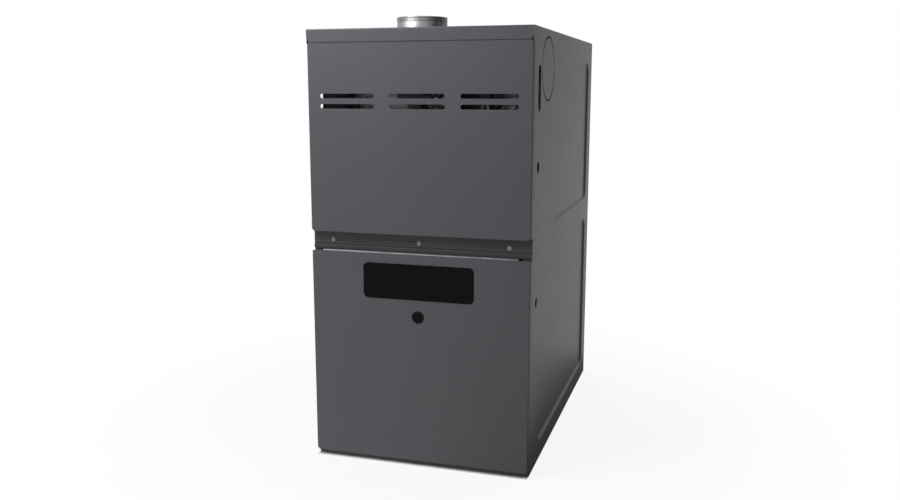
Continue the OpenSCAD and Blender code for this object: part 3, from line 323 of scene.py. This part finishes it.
def groundSteel():
    finish = Finish("groundSteel", Metallic=1.0)
    rings = finish.noise(30, 3, 0.5, (40, 1, 1))
    finish.set("Base Color", finish.blend(rings, (0.5, 0.5, 0.5), (0.68, 0.68, 0.69)))
    finish.set("Roughness", finish.spread(rings, 0.2, 0.34))
    return finish.material


def motorPaint():
    finish = Finish("motorPaint", Specular_IOR_Level=0.45)
    finish.set("Base Color", finish.blend(finish.noise(40, 4), (0.011, 0.011, 0.012), (0.024, 0.024, 0.025)))
    finish.set("Roughness", finish.spread(finish.noise(70, 3), 0.32, 0.46))
    finish.set("Normal", finish.bump(finish.noise(600, 2), 0.2, 0.0003))
    return finish.material


def plainCoat(name, low, high, rough, grain=500, metal=0.0, bumpiness=0.15):
    finish = Finish(name, Metallic=metal)
    finish.set("Base Color", finish.blend(finish.spread(finish.noise(35, 4), 0, 1), low, high))
    finish.set("Roughness", finish.spread(finish.noise(55, 3), rough - 0.05, rough + 0.06))
    finish.set("Normal", finish.bump(finish.noise(grain, 2), bumpiness, 0.0002))
    return finish.material


def turnedBrass():
    finish = Finish("turnedBrass", Metallic=1.0)
    rings = finish.noise(60, 3, 0.5, (1, 30, 1))
    finish.set("Base Color", finish.blend(rings, (0.6, 0.42, 0.16), (0.8, 0.61, 0.28)))
    finish.set("Roughness", finish.spread(rings, 0.2, 0.34))
    finish.set("Normal", finish.bump(rings, 0.1, 0.0002))
    return finish.material


def castAluminium():
    finish = Finish("castAluminium", Metallic=0.75)
    grain = finish.noise(420, 4, 0.6)
    patches = finish.spread(finish.noise(30, 3), 0, 1)
    finish.set("Base Color", finish.blend(patches, (0.4, 0.41, 0.42), (0.52, 0.53, 0.54)))
    finish.set("Roughness", finish.spread(grain, 0.4, 0.56))
    finish.set("Normal", finish.bump(grain, 0.3, 0.0003))
    return finish.material


# the board's middle height, the plane in front of which its components stand and its lamp's radius,
# in metres, and the slack round each component in millimetres
board = {"height": 0.313, "face": -0.3161, "lamp": 0.0031, "slack": 0.3}
# each kind has a colour, and a left, foot, width and height in millimetres from the board's middle
boardParts = {
    "relays": ((0.012, 0.012, 0.014), [(-84, 34, 28, 18), (-50, 34, 28, 18), (-16, 34, 28, 18)]),
    "plugs": ((0.62, 0.6, 0.54), [(-88, -48, 44, 12), (-38, -50, 30, 10), (-88, 2, 10, 18)]),
    "terminals": ((0.02, 0.16, 0.05), [(2, -48, 20, 9), (34, -50, 40, 14)]),
    "coil": ((0.45, 0.33, 0.06), [(40, 28, 34, 20)]),
    "fuse": ((0.2, 0.05, 0.22), [(44, -12, 26, 7)]),
    "capacitor": ((0.02, 0.05, 0.2), [(20, -14, 12, 12)]),
}


def boardFinish():
    # solder mask with traces on the sheet, and darker or paler bodies in front of it
    finish = Finish("boardFinish", Specular_IOR_Level=0.5)
    slack = board["slack"]
    x, y, z = finish.xyz()
    up = z - board["height"]
    maze = finish.node("ShaderNodeTexBrick", {"offset": 0.37, "squash": 1.0},
                       {"Vector": finish.node("ShaderNodeCombineXYZ", None, {0: x, 1: z, 2: 0.0}),
                        "Color1": (0, 0, 0), "Color2": (0, 0, 0), "Mortar": (1, 1, 1), "Scale": 60.0,
                        "Mortar Size": 0.018, "Brick Width": 0.7, "Row Height": 0.16})
    pads = finish.node("ShaderNodeTexVoronoi", {"feature": "F1"},
                       {"Vector": finish.place(), "Scale": 230.0})
    green = finish.blend(maze, (0.006, 0.075, 0.03), (0.016, 0.14, 0.06))
    soldered = finish.blend((pads < 0.16) * 0.8, green, (0.5, 0.5, 0.47))
    # each component in front of the sheet has its own plastic
    bodies = (0.014, 0.014, 0.016)
    for shade, places in boardParts.values():
        inside = 0.0
        for left, foot, width, height in places:
            wide = (x > (left - slack) / 1000) * (x < (left + width + slack) / 1000)
            tall = (up > (foot - slack) / 1000) * (up < (foot + height + slack) / 1000)
            inside = inside + wide * tall
        bodies = finish.blend(inside, bodies, shade)
    body = y < board["face"]
    lampLit = ((x * x + up * up) < board["lamp"] ** 2) * body
    finish.set("Base Color", finish.blend(lampLit, finish.blend(body, soldered, bodies), (0.55, 0.02, 0.015)))
    finish.set("Roughness", finish.spread(finish.noise(90, 2), 0.3, 0.44))
    return finish.material


coil = {"halfWidth": 0.0179, "halfHeight": 0.01385}


def laminatedCore():
    # a stack of steel leaves round a coil in amber tape
    finish = Finish("laminatedCore", Metallic=0.25)
    x, y, z = finish.xyz()
    leaves = finish.node("ShaderNodeTexWave", {"bands_direction": "Y"},
                         {"Vector": finish.place(), "Scale": 180.0, "Distortion": 0.4})
    steel = finish.blend(leaves, (0.035, 0.033, 0.032), (0.085, 0.08, 0.076))
    low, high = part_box("transformer")
    middle = (low + high) / 2
    wound = (((x - middle.x) * (x - middle.x) < coil["halfWidth"] ** 2)
             * ((z - middle.z) * (z - middle.z) < coil["halfHeight"] ** 2))
    finish.set("Base Color", finish.blend(wound, steel, (0.42, 0.24, 0.08)))
    finish.set("Roughness", finish.spread(finish.noise(120, 2), 0.4, 0.55))
    finish.set("Normal", finish.bump(leaves, 0.3, 0.0003))
    return finish.material


finishes = {
    "cabinet_paint": cabinetPaint(), "rail_paint": railPaint(), "plate_black": plateBlack(),
    "sight_lens": sightLens(), "zinc": zincPlate(), "galvanised": galvanised(),
    "aluminised": aluminised(), "foil_face": foilFace(), "steel_shaft": groundSteel(),
    "motor_paint": motorPaint(),
    "fan_plastic": plainCoat("fanPlastic", (0.008, 0.008, 0.008), (0.016, 0.016, 0.017), 0.42),
    "manifold_paint": plainCoat("manifoldPaint", (0.022, 0.022, 0.023), (0.04, 0.04, 0.041), 0.45),
    "brass_orifice": turnedBrass(), "valve_casting": castAluminium(),
    "red_plastic": plainCoat("redPlastic", (0.42, 0.02, 0.014), (0.52, 0.03, 0.02), 0.3),
    "ceramic_white": plainCoat("ceramicWhite", (0.6, 0.58, 0.53), (0.72, 0.71, 0.67), 0.62, 700, 0, 0.3),
    "dark_metal": plainCoat("darkMetal", (0.018, 0.018, 0.021), (0.034, 0.034, 0.038), 0.4, 400, 0.4),
    "switch_shell": spangle("switchShell", (0.5, 0.5, 0.47), 0.4, 260, 0.9, 0.08),
    "hose_rubber": plainCoat("hoseRubber", (0.006, 0.006, 0.006), (0.012, 0.012, 0.012), 0.62),
    "yellow_wire": plainCoat("yellowWire", (0.82, 0.78, 0.5), (0.9, 0.86, 0.6), 0.34),
    "white_wire": plainCoat("whiteWire", (0.56, 0.56, 0.54), (0.68, 0.68, 0.66), 0.34),
    "board_green": boardFinish(), "transformer_core": laminatedCore(),
    "white_plastic": plainCoat("whitePlastic", (0.6, 0.6, 0.57), (0.7, 0.7, 0.68), 0.4),
}
slotOf = {row["node"]: row["material_slot"] for row in frame["record"]["subparts"]}
# pieces whose finish differs from that of their slot
special = {
    "vent_collar": collarZinc(),
    "inducer_housing": plainCoat("inducerShell", (0.16, 0.16, 0.16), (0.2, 0.2, 0.2), 0.5, 400, 0.6),
    "vestibule_panel": spangle("vestibuleZinc", (0.25, 0.25, 0.254), 0.46, 150, 0.9, 0.06),
    # painted shade: the base frame's zinc is darker than the plain galvanised, standing in for the shade
    # under the lower door
    "base_frame": spangle("shadedBaseZinc", (0.12, 0.12, 0.12), 0.5, 150, 0.7, 0.06),
    "rail_screws": plainCoat("railScrew", (0.15, 0.15, 0.15), (0.2, 0.2, 0.2), 0.38, 700, 1.0),
    "valve_wire": plainCoat("paleWire", (0.5, 0.47, 0.3), (0.6, 0.57, 0.4), 0.34),
}
for name, obj in nodes.items():
    obj.data.materials.clear()
    obj.data.materials.append(special.get(name) or finishes[slotOf[name]])
print("finishes made:", len(finishes))


softEdges = {"width": 0.00035, "angle": 38, "segments": 2, "weld": 0.00002,
             "plain": ("blower_wheel", "blower_blades", "pressure_hose", "valve_wire", "inducer_wire",
                       "heat_tube_1", "heat_tube_2", "heat_tube_3", "heat_tube_4",
                       "left_side_panel", "right_side_panel")}
for name, obj in nodes.items():
    weld = obj.modifiers.new("weld", "WELD")
    weld.merge_threshold = softEdges["weld"]
    if name not in softEdges["plain"]:
        bevel = obj.modifiers.new("softEdges", "BEVEL")
        bevel.width = softEdges["width"]
        bevel.segments = softEdges["segments"]
        bevel.limit_method = "ANGLE"
        bevel.angle_limit = math.radians(softEdges["angle"])
        bevel.use_clamp_overlap = True


def meshPiece(name, body, verts, faces, finish, smooth=True):
    # a scene piece from points in metres, riding on a body
    data = bpy.data.meshes.new(name)
    data.from_pydata(verts, [], faces)
    data.materials.append(finish)
    if smooth:
        data.shade_smooth()
    piece = bpy.data.objects.new(name, data)
    bpy.context.scene.collection.objects.link(piece)
    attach(piece, body)
    return piece


def smoothRoute(points, steps):
    # a curve that passes through every point without a corner
    route = []
    ends = [points[0]] + points + [points[-1]]
    for i in range(len(points) - 1):
        a, b, c, d = ends[i:i + 4]
        for k in range(steps):
            t = k / steps
            route.append(0.5 * (2 * b + (c - a) * t + (2 * a - 5 * b + 4 * c - d) * t * t
                                + (3 * b - a - 3 * c + d) * t ** 3))
    return route + [points[-1]]


def sweptTube(route, radii, sides=8):
    # rings carried along the route without twisting
    verts, faces = [], []
    heading = (route[1] - route[0]).normalized()
    across = heading.orthogonal().normalized()
    for i, point in enumerate(route):
        ahead = (route[min(i + 1, len(route) - 1)] - route[max(i - 1, 0)]).normalized()
        across = (across - ahead * across.dot(ahead)).normalized()
        other = ahead.cross(across)
        for k in range(sides):
            angle = 2 * math.pi * k / sides
            verts.append(point + (across * math.cos(angle) + other * math.sin(angle)) * radii[i])
    for i in range(len(route) - 1):
        for k in range(sides):
            n = (k + 1) % sides
            faces.append((i * sides + k, i * sides + n, (i + 1) * sides + n, (i + 1) * sides + k))
    faces.append(tuple(reversed(range(sides))))
    faces.append(tuple(range((len(route) - 1) * sides, len(route) * sides)))
    return verts, faces


lead = {"radius": 1.25, "steps": 5, "sleeve": 2.3, "sleeveLength": 9}


def wireLead(name, millimetres, slot, radius=lead["radius"], sleeves=(True, True)):
    # a lead with crimped sleeves on its first and last end
    route = smoothRoute([Vector(p) for p in millimetres], lead["steps"])
    run = [0.0]
    for a, b in zip(route, route[1:]):
        run.append(run[-1] + (b - a).length)
    radii = []
    for length in run:
        first = sleeves[0] and length < lead["sleeveLength"]
        last = sleeves[1] and run[-1] - length < lead["sleeveLength"]
        radii.append((lead["sleeve"] if first or last else radius) / 1000)
    verts, faces = sweptTube([p / 1000 for p in route], radii)
    piece = meshPiece(name, "cabinet", verts, faces, finishes[slot])


harness = {"hole": (-150, -251), "ring": 8.5, "count": 11}


def throughDeck(k):
    # the way of lead k through the deck's hole, round the control panel and down to the board
    angle = 2 * math.pi * (k + 0.5) / harness["count"]
    ox, oy = harness["ring"] * math.cos(angle), harness["ring"] * math.sin(angle)
    x, y = harness["hole"]
    plug = -85 + 4.6 * k + (9 if k > 8 else 0)
    return [(x + ox, y + oy, 492), (x + ox, y + oy, 456), (-163 + ox, -257 + oy, 424),
            (-194 + ox, -284 + oy, 384), (-210 + 0.9 * ox, -314 + 0.5 * oy, 342),
            (-170, -324 + 0.6 * oy, 286 - ox), (-88 + 0.5 * plug, -330 + 0.3 * oy, 250 - 1.2 * k),
            (plug, -326, 250), (plug, -322, 266)]


leadRoutes = {
    "igniterLeadA": ("white_wire", [(-195, -156, 533), (-204, -164, 538), (-205, -200, 548),
                                    (-190, -233, 545), (-154, -238, 520)]),
    "igniterLeadB": ("white_wire", [(-195, -152, 527), (-207, -166, 530), (-209, -205, 536),
                                    (-192, -238, 530), (-156, -240, 512)]),
    "limitLeadA": ("white_wire", [(-171, -152, 642), (-172, -172, 640), (-182, -198, 618),
                                  (-180, -230, 570), (-158, -247, 522)]),
    "limitLeadB": ("yellow_wire", [(-159, -152, 638), (-160, -176, 636), (-172, -205, 612),
                                   (-172, -238, 565), (-152, -245, 522)]),
    "pressureLeadA": ("yellow_wire", [(-200, -166, 716), (-203, -184, 704), (-203, -205, 670),
                                      (-196, -232, 600), (-164, -254, 525)]),
    "pressureLeadB": ("white_wire", [(-168, -166, 716), (-172, -186, 702), (-190, -212, 664),
                                     (-188, -238, 596), (-156, -258, 525)]),
    "rolloutLeadA": ("yellow_wire", [(75, -179, 567), (74, -192, 572), (50, -208, 580),
                                     (-40, -216, 582), (-126, -226, 575), (-160, -247, 530)]),
    "rolloutLeadB": ("white_wire", [(85, -179, 567), (84, -196, 575), (54, -213, 586),
                                    (-40, -221, 588), (-122, -231, 580), (-142, -250, 530)]),
    "sensorLead": ("yellow_wire", [(183, -154, 530), (194, -160, 536), (198, -190, 560),
                                   (170, -224, 578), (60, -228, 590), (-40, -229, 594),
                                   (-122, -238, 584), (-146, -256, 530)]),
}
for k, (name, (slot, points)) in enumerate(leadRoutes.items()):
    wireLead(name, points + throughDeck(k), slot)

# looped pair behind the lower right louvre, and the lead that leans away from it
valveLead = {"radius": 1.4,
             "loop": [(126, -324, 640.5), (126, -325, 660), (129, -328, 690), (131.8, -330.5, 712),
                      (132.4, -331, 724), (131, -331, 732), (126.8, -331, 737.5), (121.8, -331, 731),
                      (120.2, -330, 720), (118, -326, 700), (104, -314, 676), (96, -296, 640),
                      (84, -262, 612), (40, -240, 600), (-60, -236, 600), (-118, -252, 592),
                      (-137, -265, 540)],
             "leaning": [(172, -324, 640.5), (172, -326, 660), (173, -331, 700), (178.5, -334, 720),
                         (186, -334, 731.5), (193, -333, 737), (199, -328, 728), (204, -310, 700),
                         (206, -270, 650), (200, -232, 610), (160, -228, 597), (60, -233, 606),
                         (-60, -241, 607), (-118, -257, 598), (-132, -268, 548)]}
wireLead("valveLoop", valveLead["loop"] + throughDeck(9), "yellow_wire", valveLead["radius"])
wireLead("valveLead", valveLead["leaning"] + throughDeck(10), "white_wire", valveLead["radius"])

# leads side by side, each a step further along the row than the one before
for k, slot in enumerate(("white_wire", "yellow_wire", "dark_metal", "red_plastic")):
    wireLead("blowerLead" + str(k + 1),
             [(148, 60 + 4 * k, 250 + 3 * k), (160, 50 + 3 * k, 262 + 3 * k), (178 + k, 10, 290 + 3 * k),
              (196 + 2 * k, -80, 330 + 3 * k), (200 + 2 * k, -180, 372 + 3 * k),
              (197 + 1.5 * k, -262, 398 + 3 * k), (196 + 1.5 * k, -300, 396 + 3 * k),
              (180, -318 + k, 384 + 3 * k), (120, -324, 384 + 3 * k), (72 - 6 * k, -332, 380),
              (68 - 6 * k, -333, 366), (66 - 6 * k, -328, 358)], slot, radius=1.5, sleeves=(False, True))
for k, slot in enumerate(("red_plastic", "white_wire", "yellow_wire")):
    wireLead("coilLead" + str(k + 1),
             [(110 + 6 * k, -345, 286), (106 + 5 * k, -346, 268 - 3 * k), (84, -338, 254 - 4 * k),
              (62 - 7 * k, -328, 252 - 2 * k), (60 - 7 * k, -322, 266)], slot, radius=1.1)
for k, slot in enumerate(("white_wire", "dark_metal")):
    wireLead("doorSwitchLead" + str(k + 1),
             [(163 + 8 * k, -330, 404), (164 + 8 * k, -332, 392), (176 + 6 * k, -326, 372),
              (191 + 3 * k, -318, 360 - 8 * k), (194 + 3 * k, -312, 352 - 8 * k)],
             slot, radius=1.2, sleeves=(True, False))
print("leads laid")


screw = {"flange": 4.4, "edge": 0.5, "washer": 0.8, "flat": 3.4, "height": 2.4, "corner": 0.45,
         "chamfer": 0.4, "dimple": 1.7, "hollow": 0.7, "round": 18}


def hexScrews(name, places, facing, size=1.0, slot="zinc"):
    # washer-head screws with a dimple in the hexagon
    verts, faces = [], []
    turn = Vector((0, 0, 1)).rotation_difference(Vector(facing)).to_matrix()
    flange, edge, flat, top, dimple = (screw[key] for key in ("flange", "edge", "flat", "height", "dimple"))
    rings = ((flange, 0.0, screw["round"]), (flange, edge, screw["round"]),
             (flange - edge, screw["washer"], screw["round"]), (flat, screw["washer"], 6),
             (flat, top - screw["chamfer"], 6), (flat - screw["corner"], top, 6),
             (dimple, top, 6), (dimple - edge, top - screw["hollow"], 6))
    for place in places:
        spin = screwTurns.random() * math.pi / 3
        starts = []
        for radius, lift, sides in rings:
            starts.append((len(verts), sides))
            for k in range(sides):
                angle = spin + 2 * math.pi * k / sides
                local = Vector((radius * math.cos(angle), radius * math.sin(angle), lift)) * size
                verts.append((Vector(place) + turn @ local) / 1000)
        for (a, n), (b, m) in zip(starts, starts[1:]):
            if n == m:
                faces += [(a + k, a + (k + 1) % n, b + (k + 1) % n, b + k) for k in range(n)]
            else:
                for k in range(m):
                    rim = [a + (k * n // m + j) % n for j in range(n // m + 1)]
                    faces.append(tuple(rim + [b + (k + 1) % m, b + k]))
        last, sides = starts[-1]
        faces.append(tuple(last + k for k in range(sides)))
    piece = meshPiece(name, "cabinet", verts, faces, finishes[slot], smooth=False)


def boltCircle(radius, degrees):
    # steps from the middle of a circle to the screws on it
    return [(radius * math.cos(math.radians(d)), radius * math.sin(math.radians(d))) for d in degrees]


screwTurns = random.Random(7)
toFront, toTop = (0, -1, 0), (0, 0, 1)
inducerRing = {"x": 30, "z": 740, "steps": boltCircle(90.9, (-20, -60, -100, -140, 20, 60))}
collarRing = {"x": -35, "y": -225, "steps": boltCircle(57, (45, 135, 225, 315))}
hexScrews("vestibuleScrews", [(x, -141, z) for x in (-215, 215) for z in (492, 590, 690, 800, 858)], toFront)
hexScrews("burnerBoxScrews", [(x, -202, z) for x in (-158, 0, 158) for z in (507, 553)], toFront, 0.9)
hexScrews("inducerScrews", [(inducerRing["x"] + across, -226, inducerRing["z"] + up)
                            for across, up in inducerRing["steps"]], toFront, 0.6)
hexScrews("panelScrews", [(x, -305.2, z) for x in (-176, 176) for z in (262, 350)]
          + [(-176, -305.2, 442), (120, -305.2, 442)], toFront, 0.9)
hexScrews("coilScrews", [(x, -306.4, z) for x in (101.2, 154.8) for z in (277, 317)], toFront, 0.62)
hexScrews("boardScrews", [(x, -315.8, z) for x in (-91.6, 79.6) for z in (262.4, 365.6)], toFront, 0.6)
hexScrews("boxCoverScrews", [(x, -338.2, z) for x in (193, 201) for z in (320, 380)], toFront, 0.7)
hexScrews("pressureScrews", [(x, -143, z) for z in (711, 765) for x in (-208, -160)], toFront, 0.65)
hexScrews("limitScrews", [(x, -142.2, 640) for x in (-179, -151)], toFront, 0.6)
hexScrews("valveScrews", [(x, -342, z) for x in (125, 175) for z in (592, 618)], toFront, 0.75)
hexScrews("topScrews", [(x, y, 876) for x in (-220, 220) for y in (-330, -190, -100, 40, 180, 320)],
          toTop, 0.85)
hexScrews("collarScrews", [(collarRing["x"] + across, collarRing["y"] + back, 877.2)
                           for across, back in collarRing["steps"]], toTop, 0.8)
hexScrews("deckScrews", [(x, -200, 456) for x in (-190, 190)]
          + [(x, -320, 456) for x in (-190, -60, 60, 190)], toTop, 0.85)
print("screws set")


floor = {"half": 12, "below": 0.0004, "footprint": (0.2265, 0.3665), "touch": 0.0001, "rough": 0.9,
         "front": 0.95, "right": 0.04, "turnFrom": -0.15, "turnTo": 0.27,  # what the object's light meets
         "keep": 0.44, "fade": 1.0, "lift": 0.88,  # the shadow that the camera sees
         "near": 0.05, "far": 0.25, "shift": 0.4, "dim": 0.25}  # the white that mirrors see


def studioFloor():
    # the camera sees a pale floor that keeps the shadow and fades to white;
    # the object's own light meets a bright floor in front and a dull one on the right
    finish = Finish("studioFloor", Roughness=floor["rough"])
    rays = finish.node("ShaderNodeLightPath", output=None)
    camera, glossy = rays[0], rays[3]
    x, y, z = finish.xyz()
    side = finish.node("ShaderNodeMapRange", {"interpolation_type": "SMOOTHSTEP"},
                       {"Value": x, "From Min": floor["turnFrom"], "From Max": floor["turnTo"],
                        "To Min": floor["front"], "To Max": floor["right"]})
    dull = finish.node("ShaderNodeCombineColor", None, {0: side, 1: side, 2: side})
    grain = finish.blend(finish.noise(3, 3), (0.9, 0.9, 0.9), (0.93, 0.93, 0.93))
    finish.set("Base Color", finish.blend(camera, dull, grain))
    glow = finish.node("ShaderNodeEmission", None, {"Color": (1, 1, 1), "Strength": 1.0})
    reach = finish.node("ShaderNodeVectorMath", {"operation": "LENGTH"}, {0: finish.place()}, output=1)
    fade = finish.node("ShaderNodeMapRange", {"interpolation_type": "SMOOTHSTEP"},
                       {"Value": reach, "From Min": floor["keep"], "From Max": floor["fade"],
                        "To Min": floor["lift"], "To Max": 1.0})
    away = 0.0
    for axis, edge in zip((x, y), floor["footprint"]):
        past = (axis.maths("ABSOLUTE") - edge).maths("MAXIMUM")
        away = away + past * past
    away = away.maths("SQRT")
    # in front the white floor shows in the doors from close by
    nearer = away + (y < -floor["footprint"][1]) * floor["shift"]
    under = away < floor["touch"]
    mirrored = finish.node("ShaderNodeMapRange", {"interpolation_type": "SMOOTHSTEP"},
                           {"Value": nearer, "From Min": floor["near"], "From Max": floor["far"]})
    mirrored = mirrored * (1 - (y > -floor["footprint"][1]) * floor["dim"])
    mix = finish.node("ShaderNodeMixShader", None,
                      {0: fade * camera * (1 - under) + mirrored * glossy, 1: finish.surface(), 2: glow})
    finish.tree.links.new(mix.socket, finish.tree.nodes["Material Output"].inputs["Surface"])
    return finish.material


half = floor["half"]
corners = [(-half, -half, 0), (half, -half, 0), (half, half, 0), (-half, half, 0)]
floorMesh = bpy.data.meshes.new("studioFloor")
floorMesh.from_pydata(corners, [], [(0, 1, 2, 3)])
floorMesh.materials.append(studioFloor())
floorObj = bpy.data.objects.new("studioFloor", floorMesh)
floorObj.location.z = -floor["below"]
bpy.context.scene.collection.objects.link(floorObj)


# each shade has a direction, the cosines where it begins and is full, and its depth
skyLight = {"seen": 1.0, "fill": 0.22,
            "shades": (((1, 0, 0), 0.6, 0.8, 0.9), ((0.45, 0.89, 0), 0.3, 0.8, 0.4))}


def studioSky():
    # white where it is seen or mirrored, dimmer as a light
    world = bpy.data.worlds.new("studio")
    bpy.context.scene.world = world
    world.use_nodes = True
    sky = Shading(world.node_tree)
    rays = sky.node("ShaderNodeLightPath", output=None)
    camera, glossy, through = rays[0], rays[3], rays[6]
    seen = camera.maths("MAXIMUM", glossy).maths("MAXIMUM", through)
    level = sky.node("ShaderNodeMapRange", None,
                     {"Value": seen, "To Min": skyLight["fill"], "To Max": skyLight["seen"]})
    # the studio is darker on the right and behind it, as mirrors see it
    heading = sky.node("ShaderNodeTexCoord", output="Generated")
    for towards, edge, full, depth in skyLight["shades"]:
        facing = sky.node("ShaderNodeVectorMath", {"operation": "DOT_PRODUCT"},
                          {0: heading, 1: towards}, output=1)
        shade = sky.node("ShaderNodeMapRange", {"interpolation_type": "SMOOTHSTEP"},
                         {"Value": facing, "From Min": edge, "From Max": full, "To Max": depth})
        level = level * (1 - shade * glossy)
    back = sky.tree.nodes["Background"]
    sky.feed(back.inputs["Color"], (1, 1, 1))
    sky.feed(back.inputs["Strength"], level)


studioSky()


lamps = {
    "keyLamp": {"place": (-0.58, -1.0, 1.5), "aim": (-0.05, -0.36, 0.85), "size": (0.5, 0.45),
                "power": 16, "colour": (0.91, 0.9, 1)},
    "footLamp": {"place": (-0.1, -0.98, 0.03), "aim": (-0.1, -0.365, 0.03), "size": (0.7, 0.04),
                 "power": 0.75, "mirrored": False},
    "rearLamp": {"place": (-1.2, 2.1, 1.5), "aim": (-0.1, 0.3, 0.5), "size": (1.2, 1.2), "power": 22},
    "rightLamp": {"place": (1.0, 0.95, 0.75), "aim": (0.227, 0.1, 0.45), "size": (0.8, 0.8),
                  "power": 9, "mirrored": False},
}


def softLamp(name, place, aim, size, power, colour=(1, 1, 1), mirrored=True):
    data = bpy.data.lights.new(name, "AREA")
    data.shape = "RECTANGLE"
    data.size, data.size_y = size
    data.energy = power
    data.color = colour
    lamp = bpy.data.objects.new(name, data)
    lamp.location = place
    lamp.rotation_euler = (Vector(aim) - Vector(place)).to_track_quat("-Z", "Y").to_euler()
    lamp.visible_glossy = mirrored
    bpy.context.scene.collection.objects.link(lamp)


for name, settings in lamps.items():
    softLamp(name, **settings)
print("lamps and floor set")

scene = bpy.context.scene
scene.view_settings.view_transform = "Standard"
